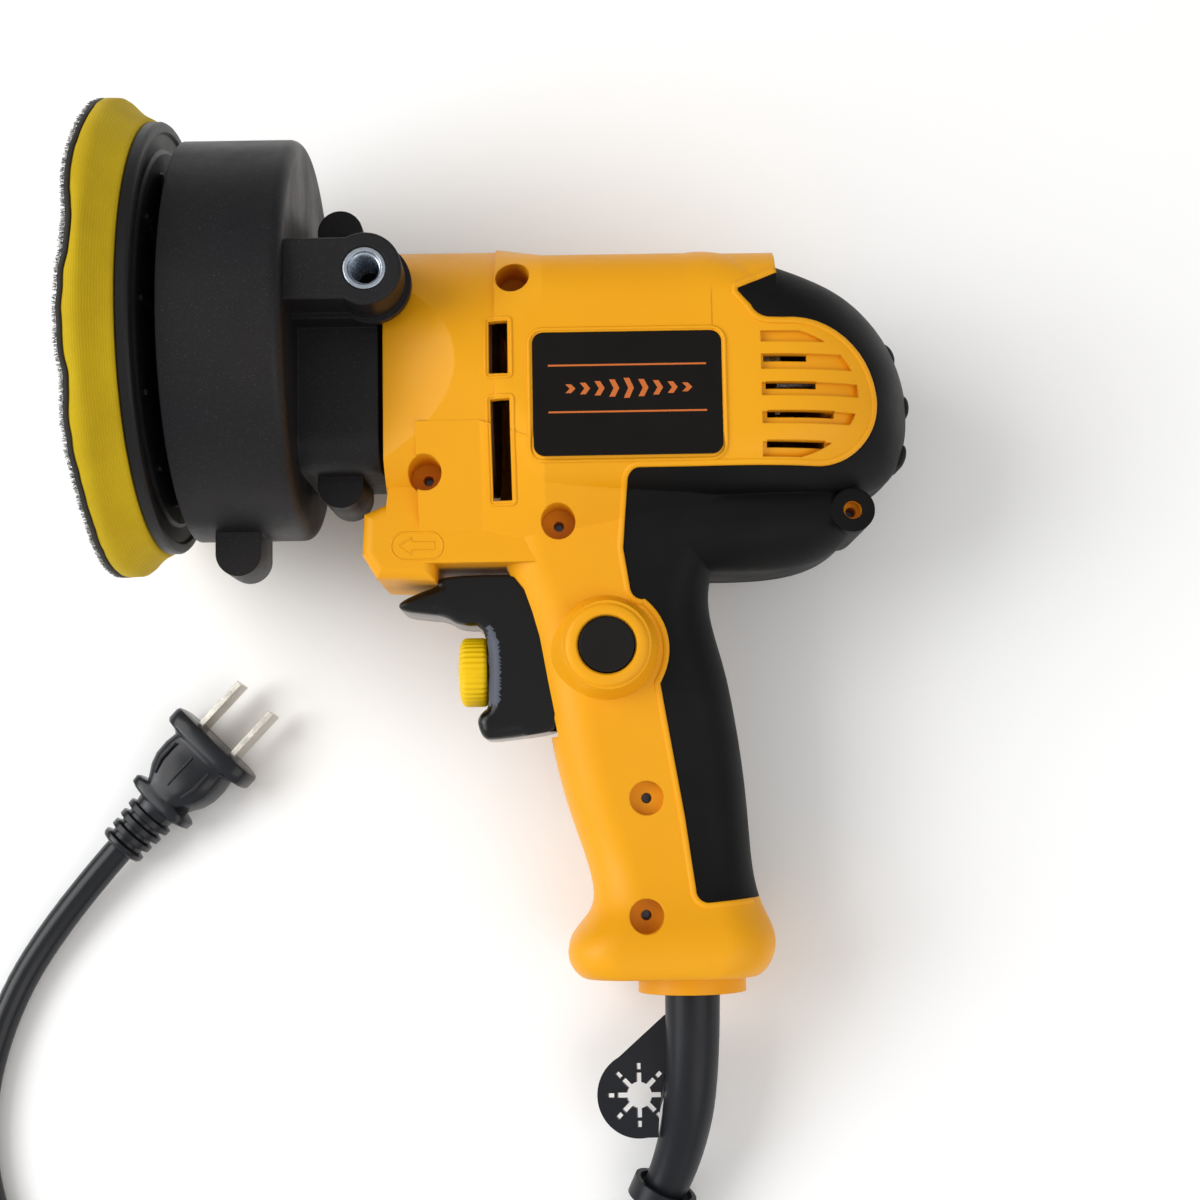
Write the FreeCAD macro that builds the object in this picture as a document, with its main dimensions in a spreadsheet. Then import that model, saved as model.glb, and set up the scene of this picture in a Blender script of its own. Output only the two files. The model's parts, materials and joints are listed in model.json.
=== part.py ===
"""Pistol-grip car polisher with an eccentric head, as a parametric FreeCAD document.

Every sub-part is modelled in the tool frame: +X runs rearwards along the output spindle from
the drum's rear wall, +Y points up the tool, away from its grip, and +Z out of its left side.
The finished tool is then laid on its right side, on its three lowest points, and the row frame
has +Z up and its origin under the middle of the tool. The cord lies on the floor in that frame.
"""
import FreeCAD, Part
import math
import os
import re
import Sketcher
from FreeCAD import Placement, Rotation, Vector

SIZES = {
    # backing pad, from its hook face back to its hub
    "hook_front": -51.5, "hook_back": -49.0, "foam_back": -38.2, "plate_back": -34.6,
    "pad_radius": 62.5, "foam_back_radius": 57.0, "plate_radius": 56.2, "hub_radius": 13.0,
    "hub_back": -27.4, "stud_radius": 4.0, "stud_flange": 10.0, "eccentricity": 3.0,
    "head_lean": 6.54,
    # eccentric drive in the drum
    "cup_front": -23.5, "cup_back": -12.5, "cup_radius": 17.0, "web_back": -6.5,
    "web_radius": 21.0, "weight_radius": 44.0, "weight_front": -20.0,
    "pad_shaft_radius": 5.0, "shaft_flange": 8.5, "pad_bearing_radius": 13.0,
    "pad_bearing_front": -21.5, "pad_bearing_width": 8.0,
    # drum, neck and side-handle bosses
    "drum_front": -29.9, "drum_radius": 52.5, "drum_wall": 3.0, "neck_back": 20.3,
    "neck_top": 19.0, "neck_bottom": -38.2, "neck_half": 25.0, "neck_middle": -9.6,
    "spigot_radius": 19.0, "flange_radius": 23.0, "flange_front": 24.7, "flange_back": 26.7,
    "boss_along": 19.4, "boss_up": 6.8, "boss_radius": 9.0, "boss_foot": 31.2,
    "boss_face": 47.0, "lug_radius": 5.9, "insert_radius": 5.4, "insert_bore": 3.4,
    "insert_length": 18.0,
    # gear train and motor
    "motor_drop": 13.2, "spindle_radius": 5.0, "spindle_front": -11.5, "spindle_back": 33.0,
    "journal_radius": 2.5, "gear_front": 9.5, "gear_back": 16.5, "tooth_module": 0.6,
    "pinion_teeth": 10, "gear_teeth": 34, "play": 0.03, "bearing_radius": 11.0,
    "bearing_front": 1.0, "bearing_back": 8.0, "plate_front": 27.2, "bearing_plate_back": 33.5,
    "bearing_plate_radius": 21.5, "motor_bearing": 8.0, "motor_bearing_front": 28.0,
    "motor_bearing_width": 5.0, "rear_bearing_front": 132.0, "shaft_radius": 3.0,
    "shaft_back": 138.5, "fan_front": 38.7, "fan_back": 49.2, "fan_radius": 29.0,
    "core_front": 67.0, "core_back": 101.0, "core_radius": 16.5, "field_bore": 17.3,
    "field_radius": 30.0, "field_half_height": 26.5, "winding_front": 60.0,
    "winding_back": 107.0, "winding_radius": 14.5, "commutator_front": 110.0,
    "commutator_back": 122.0, "commutator_radius": 11.0, "brush_half": 3.2,
    # housing
    "wall": 2.6, "rubber": 1.4, "housing_front": 21.7, "ring_radius": 35.5,
    "trigger_half": 11.2, "trigger_travel": 6.0, "dial_radius": 9.0, "dial_front": 38.4,
    "dial_back": 46.0, "dial_drop": 88.4, "lock_along": 76.7, "lock_drop": 83.7,
    "lock_radius": 6.9, "lock_travel": 3.0, "switch_front": 71.5, "switch_back": 96.0,
    "switch_half": 9.5, "clamp_drop": 139.5, "clamp_screw": 7.0,
    # cord
    "exit_along": 97.3, "exit_drop": 171.0, "collar_radius": 13.8, "guard_radius": 7.2,
    "guard_tip": 5.4, "cord_radius": 4.0, "coil_radius": 45.0,
}

doc = FreeCAD.newDocument("polisher")
sheet = doc.addObject("Spreadsheet::Sheet", "sizes")
for row, (word, number) in enumerate(SIZES.items(), start=1):
    sheet.set("A%d" % row, word)
    sheet.set("B%d" % row, str(number))
    sheet.setAlias("B%d" % row, word)
doc.recompute()

X_AXIS, Y_AXIS, Z_AXIS = Vector(1, 0, 0), Vector(0, 1, 0), Vector(0, 0, 1)
ALONG = {"x": Rotation(Y_AXIS, 90), "y": Rotation(X_AXIS, -90), "z": Rotation()}
PIECES = {}


# ---------------------------------------------------------------- bound document objects
def bound(text):
    """An expression in which every word names a cell of the sheet."""
    return re.sub(r"[a-z]\w+", lambda word: "sizes." + word.group(), str(text))


def size(text):
    """The number that an expression of the sheet's words has."""
    return float(sheet.evalExpression(bound(text)))


def keep(label, thing, seat=None):
    """Register a document object as a sub-part, seated in the tool frame."""
    thing.Label = label
    PIECES[label] = (thing, seat or Placement())
    return thing


def keep_shape(label, shape, seat=None):
    """Register a shape made with Part's own functions."""
    feature = doc.addObject("Part::Feature", label)
    feature.Shape = shape
    return keep(label, feature, seat)


def origin_feature(body, role):
    """The body's own origin plane or axis with this role."""
    return next(item for item in body.Origin.OriginFeatures if item.Role == role)


def outline(body, name, corners):
    """A closed outline on the body's XY plane whose corners are bound to the sheet."""
    sketch = body.newObject("Sketcher::SketchObject", name)
    sketch.AttachmentSupport = [(origin_feature(body, "XY_Plane"), "")]
    sketch.MapMode = "FlatFace"
    places = [Vector(size(along), size(up), 0) for along, up in corners]
    count = len(places)
    for index in range(count):
        line = Part.LineSegment(places[index], places[(index + 1) % count])
        sketch.addGeometry(line, False)
    for index in range(count):
        after = (index + 1) % count
        sketch.addConstraint(Sketcher.Constraint("Coincident", index, 2, after, 1))
    for index, (along, up) in enumerate(corners):
        for kind, text in (("DistanceX", along), ("DistanceY", up)):
            fixed = sketch.addConstraint(Sketcher.Constraint(kind, -1, 1, index, 1, size(text)))
            sketch.setExpression("Constraints[%d]" % fixed, bound(text))
    return sketch


def turned(label, corners, seat=None):
    """A body turned about its own X axis from its (station, radius) corners."""
    body = doc.addObject("PartDesign::Body", label)
    turn = body.newObject("PartDesign::Revolution", label + "_turn")
    turn.Profile = outline(body, label + "_profile", corners)
    turn.ReferenceAxis = (origin_feature(body, "X_Axis"), [""])
    turn.Angle = 360
    body.Tip = turn
    return keep(label, body, seat)


def place(item, texts):
    """Bind an object's position to three expressions."""
    for axis, text in zip("xyz", texts):
        item.setExpression("Placement.Base." + axis, bound(text))


def rod(name, radius, low, high, along="x", at=("0", "0")):
    """A bound cylinder along one axis; at gives its place on the other two."""
    item = doc.addObject("Part::Cylinder", name)
    item.setExpression("Radius", bound(radius))
    item.setExpression("Height", bound("(%s) - (%s)" % (high, low)))
    item.Placement = Placement(Vector(), ALONG[along])
    first, second = at
    place(item, {"x": (low, first, second), "y": (first, low, second),
                 "z": (first, second, low)}[along])
    return item


def block(name, spans):
    """A bound box from three (low, high) spans."""
    item = doc.addObject("Part::Box", name)
    for side, (low, high) in zip(("Length", "Width", "Height"), spans):
        item.setExpression(side, bound("(%s) - (%s)" % (high, low)))
    place(item, [low for low, high in spans])
    return item


def joined(name, items):
    """The union of document objects."""
    union = doc.addObject("Part::MultiFuse", name)
    union.Shapes = items
    return union


def without(name, base, tool):
    """One document object less another."""
    left = doc.addObject("Part::Cut", name)
    left.Base = base
    left.Tool = tool
    return left


# ---------------------------------------------------------------- plain shapes
def cylinder(radius, low, high, axis="x", at=(0.0, 0.0)):
    """A cylinder along one axis of the tool frame."""
    base = {"x": Vector(low, *at), "y": Vector(at[0], low, at[1]), "z": Vector(*at, low)}[axis]
    direction = {"x": X_AXIS, "y": Y_AXIS, "z": Z_AXIS}[axis]
    return Part.makeCylinder(radius, high - low, base, direction)


def cuboid(x_span, y_span, z_span):
    """A box between three spans."""
    corner = Vector(x_span[0], y_span[0], z_span[0])
    return Part.makeBox(x_span[1] - x_span[0], y_span[1] - y_span[0],
                        z_span[1] - z_span[0], corner)


def prism(corners, low, high):
    """A closed outline in X and Y, extruded along Z."""
    points = [Vector(along, up, low) for along, up in corners]
    face = Part.Face(Part.makePolygon(points + points[:1]))
    return face.extrude(Vector(0, 0, high - low))


def curved_prism(route, low, high):
    """A closed outline of straight runs and arcs in X and Y, extruded along Z."""
    places = [route[0]] + [entry if isinstance(entry[0], float) else entry[1]
                           for entry in route[1:]]
    edges = []
    for index, entry in enumerate(route[1:]):
        start, end = (Vector(*places[step], low) for step in (index, index + 1))
        if isinstance(entry[0], float):
            edges.append(Part.LineSegment(start, end).toShape())
        else:
            edges.append(Part.Arc(start, Vector(*entry[0], low), end).toShape())
    edges.append(Part.LineSegment(Vector(*places[-1], low), Vector(*places[0], low)).toShape())
    return Part.Face(Part.Wire(edges)).extrude(Vector(0, 0, high - low))


def sector(inner, outer, low, high, start, sweep, centre):
    """A ring sector about the X axis, with its angles from +Y towards +Z in degrees."""
    ring = cylinder(outer, low, high, "x", centre).cut(cylinder(inner, low, high, "x", centre))
    reach = 2 * outer
    corners = [Vector(low, centre[0], centre[1])]
    for step in range(5):
        angle = math.radians(start + sweep * step / 4)
        corners.append(Vector(low, centre[0] + reach * math.cos(angle),
                              centre[1] + reach * math.sin(angle)))
    wedge = Part.Face(Part.makePolygon(corners + corners[:1])).extrude(Vector(high - low, 0, 0))
    return ring.common(wedge)


def mirrored(shape):
    """The same shape on the tool's other side."""
    return shape.mirror(Vector(), Z_AXIS)


def union(shapes):
    """Several shapes as one solid."""
    return shapes[0].multiFuse(shapes[1:]).removeSplitter()


def rounded_section(station, spans, corner, axis):
    """A rounded rectangle across the X or Y axis, as a wire of four lines and four arcs."""
    (low_a, high_a), (low_b, high_b) = spans
    corner = min(corner, 0.49 * (high_a - low_a), 0.49 * (high_b - low_b))

    def spot(first, second):
        return Vector(station, first, second) if axis == "x" else Vector(first, station, second)

    edges = []
    centres = [(high_a - corner, high_b - corner, 0), (low_a + corner, high_b - corner, 90),
               (low_a + corner, low_b + corner, 180), (high_a - corner, low_b + corner, 270)]
    ends = []
    for first, second, start in centres:
        arc = [spot(first + corner * math.cos(math.radians(start + turn)),
                    second + corner * math.sin(math.radians(start + turn)))
               for turn in (0, 45, 90)]
        ends.append(arc)
    for index, arc in enumerate(ends):
        edges.append(Part.Arc(*arc).toShape())
        edges.append(Part.LineSegment(arc[2], ends[(index + 1) % 4][0]).toShape())
    return Part.Wire(edges)


def lofted(sections, axis, inset, end_inset=None):
    """A smooth solid through rounded sections, each drawn in by inset, as is its far end."""
    wires = []
    first, last = sections[0][0], sections[-1][0]
    shrink = 1 - (inset if end_inset is None else end_inset) / abs(last - first)
    for station, low_a, high_a, half, corner in sections:
        station = first + (station - first) * shrink
        spans = ((low_a + inset, high_a - inset), (-half + inset, half - inset))
        wires.append(rounded_section(station, spans, max(corner - inset, 0.8), axis))
    return Part.makeLoft(wires, True, False)


# ---------------------------------------------------------------- gears, bearings, springs
PRESSURE_ANGLE = math.radians(25)
ADDENDUM, DEDENDUM = 0.9, 1.2
BACKLASH = 0.05


def involute_point(base, radius, offset, side):
    """The point of an involute flank at a radius, in the Y-Z plane."""
    roll = math.sqrt(max((radius / base) ** 2 - 1, 0.0))
    angle = offset + side * (roll - math.atan(roll))
    return radius * math.cos(angle), radius * math.sin(angle)


def spur_gear(teeth, low, high, turn=0.0):
    """A spur gear about the X axis whose first tooth points along +Y, turned by an angle."""
    module = size("tooth_module")
    pitch = module * teeth / 2
    base = pitch * math.cos(PRESSURE_ANGLE)
    tip, root = pitch + ADDENDUM * module, pitch - DEDENDUM * module
    half_tooth = math.pi / (2 * teeth) - BACKLASH / (2 * pitch)
    half_tooth += math.tan(PRESSURE_ANGLE) - PRESSURE_ANGLE
    start = max(base, root)
    steps = [start + (tip - start) * step / 6 for step in range(7)]
    corners = []
    for tooth in range(teeth):
        middle = 2 * math.pi * tooth / teeth + turn
        rising = [involute_point(base, radius, middle - half_tooth, 1) for radius in steps]
        falling = [involute_point(base, radius, middle + half_tooth, -1) for radius in steps]
        foot_angles = (middle - half_tooth, middle + half_tooth)
        feet = [(root * math.cos(angle), root * math.sin(angle)) for angle in foot_angles]
        corners += [feet[0]] + rising + falling[::-1] + [feet[1]]
    points = [Vector(low, first, second) for first, second in corners]
    return Part.Face(Part.makePolygon(points + points[:1])).extrude(Vector(high - low, 0, 0))


def ball_bearing(label, outer, inner, low, high, seat):
    """Two rings and their balls, as separate solids of one node."""
    play = size("play")
    inner += play
    outer -= play
    middle, ball = (outer + inner) / 2, (outer - inner) * 0.3
    race = (outer - inner) * 0.2
    rings = [cylinder(outer, low, high).cut(cylinder(outer - race, low, high)),
             cylinder(inner + race, low, high).cut(cylinder(inner, low, high))]
    count = 8
    balls = [Part.makeSphere(ball * 0.98, Vector((low + high) / 2,
                             middle * math.cos(math.tau * step / count),
                             middle * math.sin(math.tau * step / count)))
             for step in range(count)]
    return keep_shape(label, Part.makeCompound(rings + balls), seat)


SPRING_RUNS = 16  # in each turn of a spring


def spring(radius, wire, length, turns):
    """A helical spring along +Z from the origin, bent in short straight runs."""
    runs = turns * SPRING_RUNS
    points = []
    for step in range(runs + 1):
        angle = math.tau * step / SPRING_RUNS
        points.append(Vector(radius * math.cos(angle), radius * math.sin(angle),
                             wire + (length - 2 * wire) * step / runs))
    profile = Part.Wire(Part.makeCircle(wire, points[0], points[1] - points[0]))
    return Part.makePolygon(points).makePipeShell([profile], True, False, 1)


def screw(length, head_radius, shank_radius):
    """A pan-head screw along +Z whose head starts at the origin, with a cross recess."""
    head = Part.makeCylinder(head_radius, 2.2)
    cross = [Part.makeBox(0.9, 1.2 * head_radius, 1.2, Vector(-0.45, -0.6 * head_radius, -0.1)),
             Part.makeBox(1.2 * head_radius, 0.9, 1.2, Vector(-0.6 * head_radius, -0.45, -0.1))]
    shank = Part.makeCylinder(shank_radius, length, Vector(0, 0, 2.2))
    return head.cut(union(cross)).fuse(shank).removeSplitter()


SPINDLE = Placement()
MOTOR = Placement(Vector(0, -size("motor_drop"), 0), Rotation())
MOTOR_AT = (-size("motor_drop"), 0.0)
HEAD = Placement(Vector(), Rotation(X_AXIS, -size("head_lean")))
PAD = HEAD.multiply(Placement(Vector(0, 0, size("eccentricity")), Rotation()))


# ---------------------------------------------------------------- backing pad
def build_pad():
    """The hook disc, foam, plate and stud, and the shaft that the pad screws onto."""
    turned("hook_disc", [("hook_front", "0"), ("hook_front", "pad_radius - 0.8"),
                         ("hook_front + 0.8", "pad_radius"), ("hook_back", "pad_radius"),
                         ("hook_back", "0")], PAD)
    turned("pad_foam", [("hook_back", "0"), ("hook_back", "pad_radius - 0.3"),
                        ("foam_back", "foam_back_radius"), ("foam_back", "0")], PAD)
    turned("pad_plate", [("foam_back", "stud_flange"), ("foam_back", "plate_radius"),
                         ("plate_back", "plate_radius - 0.8"),
                         ("plate_back", "plate_radius - 3.5"),
                         ("foam_back + 1.6", "plate_radius - 5.5"),
                         ("foam_back + 1.6", "hub_radius + 5"), ("hub_back", "hub_radius"),
                         ("hub_back", "stud_radius"), ("foam_back + 3", "stud_radius"),
                         ("foam_back + 3", "stud_flange")], PAD)
    turned("pad_stud", [("foam_back", "0"), ("foam_back", "stud_flange"),
                        ("foam_back + 3", "stud_flange"),
                        ("foam_back + 3", "stud_radius - play"),
                        ("pad_bearing_front + 3", "stud_radius - play"),
                        ("pad_bearing_front + 3", "0")], PAD)
    turned("pad_shaft", [("hub_back", "stud_radius"), ("hub_back", "shaft_flange"),
                         ("pad_bearing_front - 0.5", "shaft_flange"),
                         ("pad_bearing_front - 0.5", "pad_shaft_radius"),
                         ("pad_bearing_front + pad_bearing_width", "pad_shaft_radius"),
                         ("pad_bearing_front + pad_bearing_width", "0"),
                         ("pad_bearing_front + 4", "0"),
                         ("pad_bearing_front + 4", "stud_radius")], PAD)


# ---------------------------------------------------------------- eccentric drive
def build_drive():
    """The counterweight with its eccentric cup, the spindle, the gear and their bearings."""
    cup = rod("cup", "cup_radius", "cup_front", "cup_back + 1", "x", ("0", "eccentricity"))
    web = rod("web", "web_radius", "cup_back", "web_back")
    weight = rod("weight_disc", "weight_radius", "weight_front", "web_back")
    upper_half = block("upper_half", [("weight_front - 1", "web_back + 1"),
                                      ("-weight_radius - 1", "weight_radius + 1"),
                                      ("-9", "weight_radius + 1")])
    hollow = rod("cup_clearance", "cup_radius - 0.5", "weight_front - 1", "cup_back", "x",
                 ("0", "eccentricity"))
    half_disc = without("half_disc", without("half_ring", weight, upper_half), hollow)
    solid = joined("weight_blank", [cup, web, half_disc])
    bores = joined("weight_bores", [
        rod("bearing_seat", "pad_bearing_radius", "cup_front - 1", "cup_back", "x",
            ("0", "eccentricity")),
        rod("spindle_bore", "spindle_radius", "cup_back - 1", "web_back + 1")])
    keep("counterweight", without("counterweight_cut", solid, bores), HEAD)
    ball_bearing("pad_bearing", size("pad_bearing_radius"), size("pad_shaft_radius"),
                 size("pad_bearing_front"), size("pad_bearing_front + pad_bearing_width"), PAD)
    turned("spindle", [("spindle_front", "0"), ("spindle_front", "spindle_radius"),
                       ("gear_back", "spindle_radius"), ("gear_back", "spindle_radius - 1"),
                       ("plate_front - 0.5", "spindle_radius - 1"),
                       ("plate_front - 0.5", "journal_radius"),
                       ("spindle_back", "journal_radius"), ("spindle_back", "0")])
    gear = spur_gear(int(size("gear_teeth")), size("gear_front"), size("gear_back"))
    bore = cylinder(size("spindle_radius"), size("gear_front") - 1, size("gear_back") + 1)
    keep_shape("spindle_gear", gear.cut(bore))
    ball_bearing("spindle_bearing", size("bearing_radius"), size("spindle_radius"),
                 size("bearing_front"), size("bearing_back"), SPINDLE)
    turned("spindle_bush", [("plate_front", "journal_radius + play"),
                            ("plate_front", "journal_radius + 1.1"),
                            ("bearing_plate_back", "journal_radius + 1.1"),
                            ("bearing_plate_back", "journal_radius + play")])
    plate = rod("plate_disc", "bearing_plate_radius", "plate_front", "bearing_plate_back",
                "x", ("-motor_drop", "0"))
    holes = joined("plate_holes", [
        rod("bush_seat", "journal_radius + 1.1", "plate_front - 1", "bearing_plate_back + 1"),
        rod("pinion_way", "pinion_teeth * tooth_module / 2 + 1.4", "plate_front - 1",
            "bearing_plate_back", "x", ("-motor_drop", "0")),
        rod("motor_bearing_seat", "motor_bearing", "motor_bearing_front",
            "bearing_plate_back + 1", "x", ("-motor_drop", "0"))])
    keep("bearing_plate", without("bearing_plate_cut", plate, holes))


# ---------------------------------------------------------------- motor
def build_motor():
    """The armature with its fan and commutator, the field and the brush gear."""
    low, high = size("gear_front"), size("gear_back")
    teeth = int(size("pinion_teeth"))
    pinion = spur_gear(teeth, low, high, math.pi / teeth)
    reach = size("shaft_radius")
    waist = size("tooth_module") * teeth / 2 - DEDENDUM * size("tooth_module")
    shaft = [cylinder(waist, high - 0.5, size("motor_bearing_front")),
             cylinder(reach, size("motor_bearing_front"), size("fan_front")),
             cylinder(reach + 1, size("fan_front"), size("commutator_back")),
             cylinder(reach, size("commutator_back"), size("shaft_back"))]
    keep_shape("armature_shaft", union([pinion] + shaft), MOTOR)
    inner = reach + 1
    slots = [cuboid((size("core_front") - 1, size("core_back") + 1), (11.0, 15.6), (-1.5, 1.5)),
             cuboid((size("core_front") - 1, size("core_back") + 1), (15.0, 18.0), (-0.6, 0.6))]
    core = cylinder(size("core_radius"), size("core_front"), size("core_back"))
    count = 12
    cutters = []
    for step in range(count):
        for slot in slots:
            turned_slot = slot.copy()
            turned_slot.rotate(Vector(), X_AXIS, 360 * step / count)
            cutters.append(turned_slot)
    core = core.cut(Part.makeCompound(cutters))
    keep_shape("armature_core", core.cut(cylinder(inner, 50, 110)), MOTOR)
    rings = []
    for start, end in ((size("winding_front"), size("core_front")),
                       (size("core_back"), size("winding_back"))):
        ring = cylinder(size("winding_radius"), start, end)
        outer_edges = [edge for edge in ring.Edges if edge.Curve.TypeId == "Part::GeomCircle"]
        ring = ring.makeFillet(1.8, outer_edges)
        rings.append(ring.cut(cylinder(inner, start - 1, end + 1)))
    keep_shape("armature_windings", Part.makeCompound(rings), MOTOR)
    turned("commutator", [("commutator_front", "shaft_radius + 1"),
                          ("commutator_front", "commutator_radius + 1.5"),
                          ("commutator_front + 2", "commutator_radius + 1.5"),
                          ("commutator_front + 2", "commutator_radius"),
                          ("commutator_back", "commutator_radius"),
                          ("commutator_back", "shaft_radius + 1")], MOTOR)
    build_fan(inner)
    ball_bearing("motor_front_bearing", size("motor_bearing"), reach,
                 size("motor_bearing_front"),
                 size("motor_bearing_front + motor_bearing_width"), MOTOR)
    ball_bearing("motor_rear_bearing", size("motor_bearing"), reach,
                 size("rear_bearing_front"),
                 size("rear_bearing_front + motor_bearing_width"), MOTOR)
    build_field()
    build_brush_gear()


def build_fan(bore):
    """A radial fan: a hub, a back plate and curved blades."""
    low, high = size("fan_front"), size("fan_back")
    outer = size("fan_radius")
    disc = cylinder(outer, high - 1.6, high)
    hub = cylinder(9.0, low, high)
    blades = []
    count = 14
    for step in range(count):
        blade = cuboid((low, high - 1.2), (8.0, outer - 1), (-0.7, 0.7))
        blade.rotate(Vector(0, 8.0, 0), X_AXIS, 18)
        blade.rotate(Vector(), X_AXIS, 360 * step / count)
        blades.append(blade.common(cylinder(outer, low, high)))
    fan = union([disc, hub] + blades)
    keep_shape("cooling_fan", fan.cut(cylinder(bore, low - 1, high + 1)), MOTOR)


def build_field():
    """The laminated field core with two poles, and a coil on each."""
    low, high = size("core_front"), size("core_back")
    outer, bore, flat = size("field_radius"), size("field_bore"), size("field_half_height")
    centre = (0.0, 0.0)
    blank = cylinder(outer, low, high).common(cuboid((low, high), (-outer, outer),
                                                     (-outer, outer)))
    blank = blank.common(cuboid((low, high), (-flat, flat), (-outer, outer)))
    slots, coils = [], []
    for side in (0, 180):
        bars = []
        for start in (side + 42, side - 64):
            slots.append(sector(bore - 1, 24.3, low, high, start, 22, centre))
            bars.append(sector(18.2, 24.0, low - 1, high + 1, start + 2, 18, centre))
        ends = [sector(18.2, 24.0, near, near + 7, side - 62, 124, centre)
                for near in (low - 7.2, high + 0.2)]
        coils.append(union(bars + ends))
    core = blank.cut(cylinder(bore, low - 1, high + 1)).cut(Part.makeCompound(slots))
    keep_shape("field_core", core, MOTOR)
    keep_shape("field_coils", Part.makeCompound(coils), MOTOR)


def build_brush_gear():
    """Brass holders, carbon brushes and the springs that press them on the commutator."""
    half = size("brush_half")
    middle = size("(commutator_front + 2 + commutator_back) / 2")
    holders, brushes, springs = [], [], []
    contact = size("commutator_radius") + 0.15
    for side in (1, -1):
        tube = cuboid((middle - half - 1.2, middle + half + 1.2), (-half - 1.2, half + 1.2),
                      (contact + 2, 28.5))
        way = cuboid((middle - half - 0.1, middle + half + 0.1), (-half - 0.1, half + 0.1),
                     (contact, 27.3))
        brush = cuboid((middle - half, middle + half), (-half, half), (contact - 0.6, 20.0))
        brush = brush.cut(cylinder(contact, middle - 9, middle + 9))
        coil = spring(2.2, 0.35, 7.0, 6)
        coil.translate(Vector(middle, 0, 20.1))
        for group, shape in ((holders, tube.cut(way)), (brushes, brush), (springs, coil)):
            group.append(shape if side > 0 else mirrored(shape))
    keep_shape("brush_holders", Part.makeCompound(holders), MOTOR)
    keep_shape("carbon_brushes", Part.makeCompound(brushes), MOTOR)
    keep_shape("brush_springs", Part.makeCompound(springs), MOTOR)


# ---------------------------------------------------------------- drum and neck
NOSE_SCREWS = ((-17.6, -57.2, 9.0), (8.8, 27.4, 8.0), (9.2, -40.4, 12.0))


def nose_outside():
    """The drum, the neck, the two side-handle arms and the screw lugs, all solid."""
    drum = cylinder(size("drum_radius"), size("drum_front"), 0.0)
    rear_edge = [edge for edge in drum.Edges
                 if edge.Curve.TypeId == "Part::GeomCircle" and abs(edge.CenterOfMass.x) < 0.1]
    drum = drum.makeFillet(3.0, rear_edge)
    neck = cuboid((-1.0, size("neck_back")), (size("neck_bottom"), size("neck_top")),
                  (-size("neck_half"), size("neck_half")))
    long_edges = [edge for edge in neck.Edges if abs(edge.tangentAt(edge.FirstParameter).x) > 0.9]
    neck = neck.makeFillet(9.0, long_edges)
    spigot_at = (size("neck_middle"), 0.0)
    pieces = [drum, neck,
              cylinder(size("spigot_radius"), size("neck_back") - 1, size("flange_back"), "x",
                       spigot_at),
              cylinder(size("flange_radius"), size("flange_front"), size("flange_back"), "x",
                       spigot_at)]
    along, rise = size("boss_along"), size("boss_up")
    reach, face, foot = size("boss_radius"), size("boss_face"), size("boss_foot")
    arm = cuboid((-2.5, along), (rise - 7.4, rise + 7.8), (15.0, face))
    top_edges = [edge for edge in arm.Edges if edge.CenterOfMass.z > face - 0.1]
    arm = arm.makeFillet(0.8, top_edges)
    boss = cylinder(reach, foot, face, "z", (along, rise))
    boss = boss.makeFillet(0.8, [edge for edge in boss.Edges if edge.CenterOfMass.z > face - 0.1])
    collar = cylinder(reach + 1.2, foot, foot + 2.6, "z", (along, rise))
    rib = cuboid((-1.0, size("neck_back")), (rise - 9.0, rise + 9.0), (15.0, foot + 2.6))
    side = [arm, boss, collar, rib]
    pieces += side + [mirrored(shape) for shape in side]
    for along, rise, half in NOSE_SCREWS:
        centre = Vector(0, 0, 0) if along < 0 else Vector(along, size("neck_middle"), 0)
        lug_radius = size("lug_radius")
        inward = 12.0 if rise < centre.y else -12.0
        pieces.append(cylinder(lug_radius, -half, half, "z", (along, rise)))
        spans = sorted((rise, rise + inward))
        pieces.append(cuboid((along - lug_radius, along + lug_radius), spans, (-half, half)))
    return union(pieces)


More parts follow.
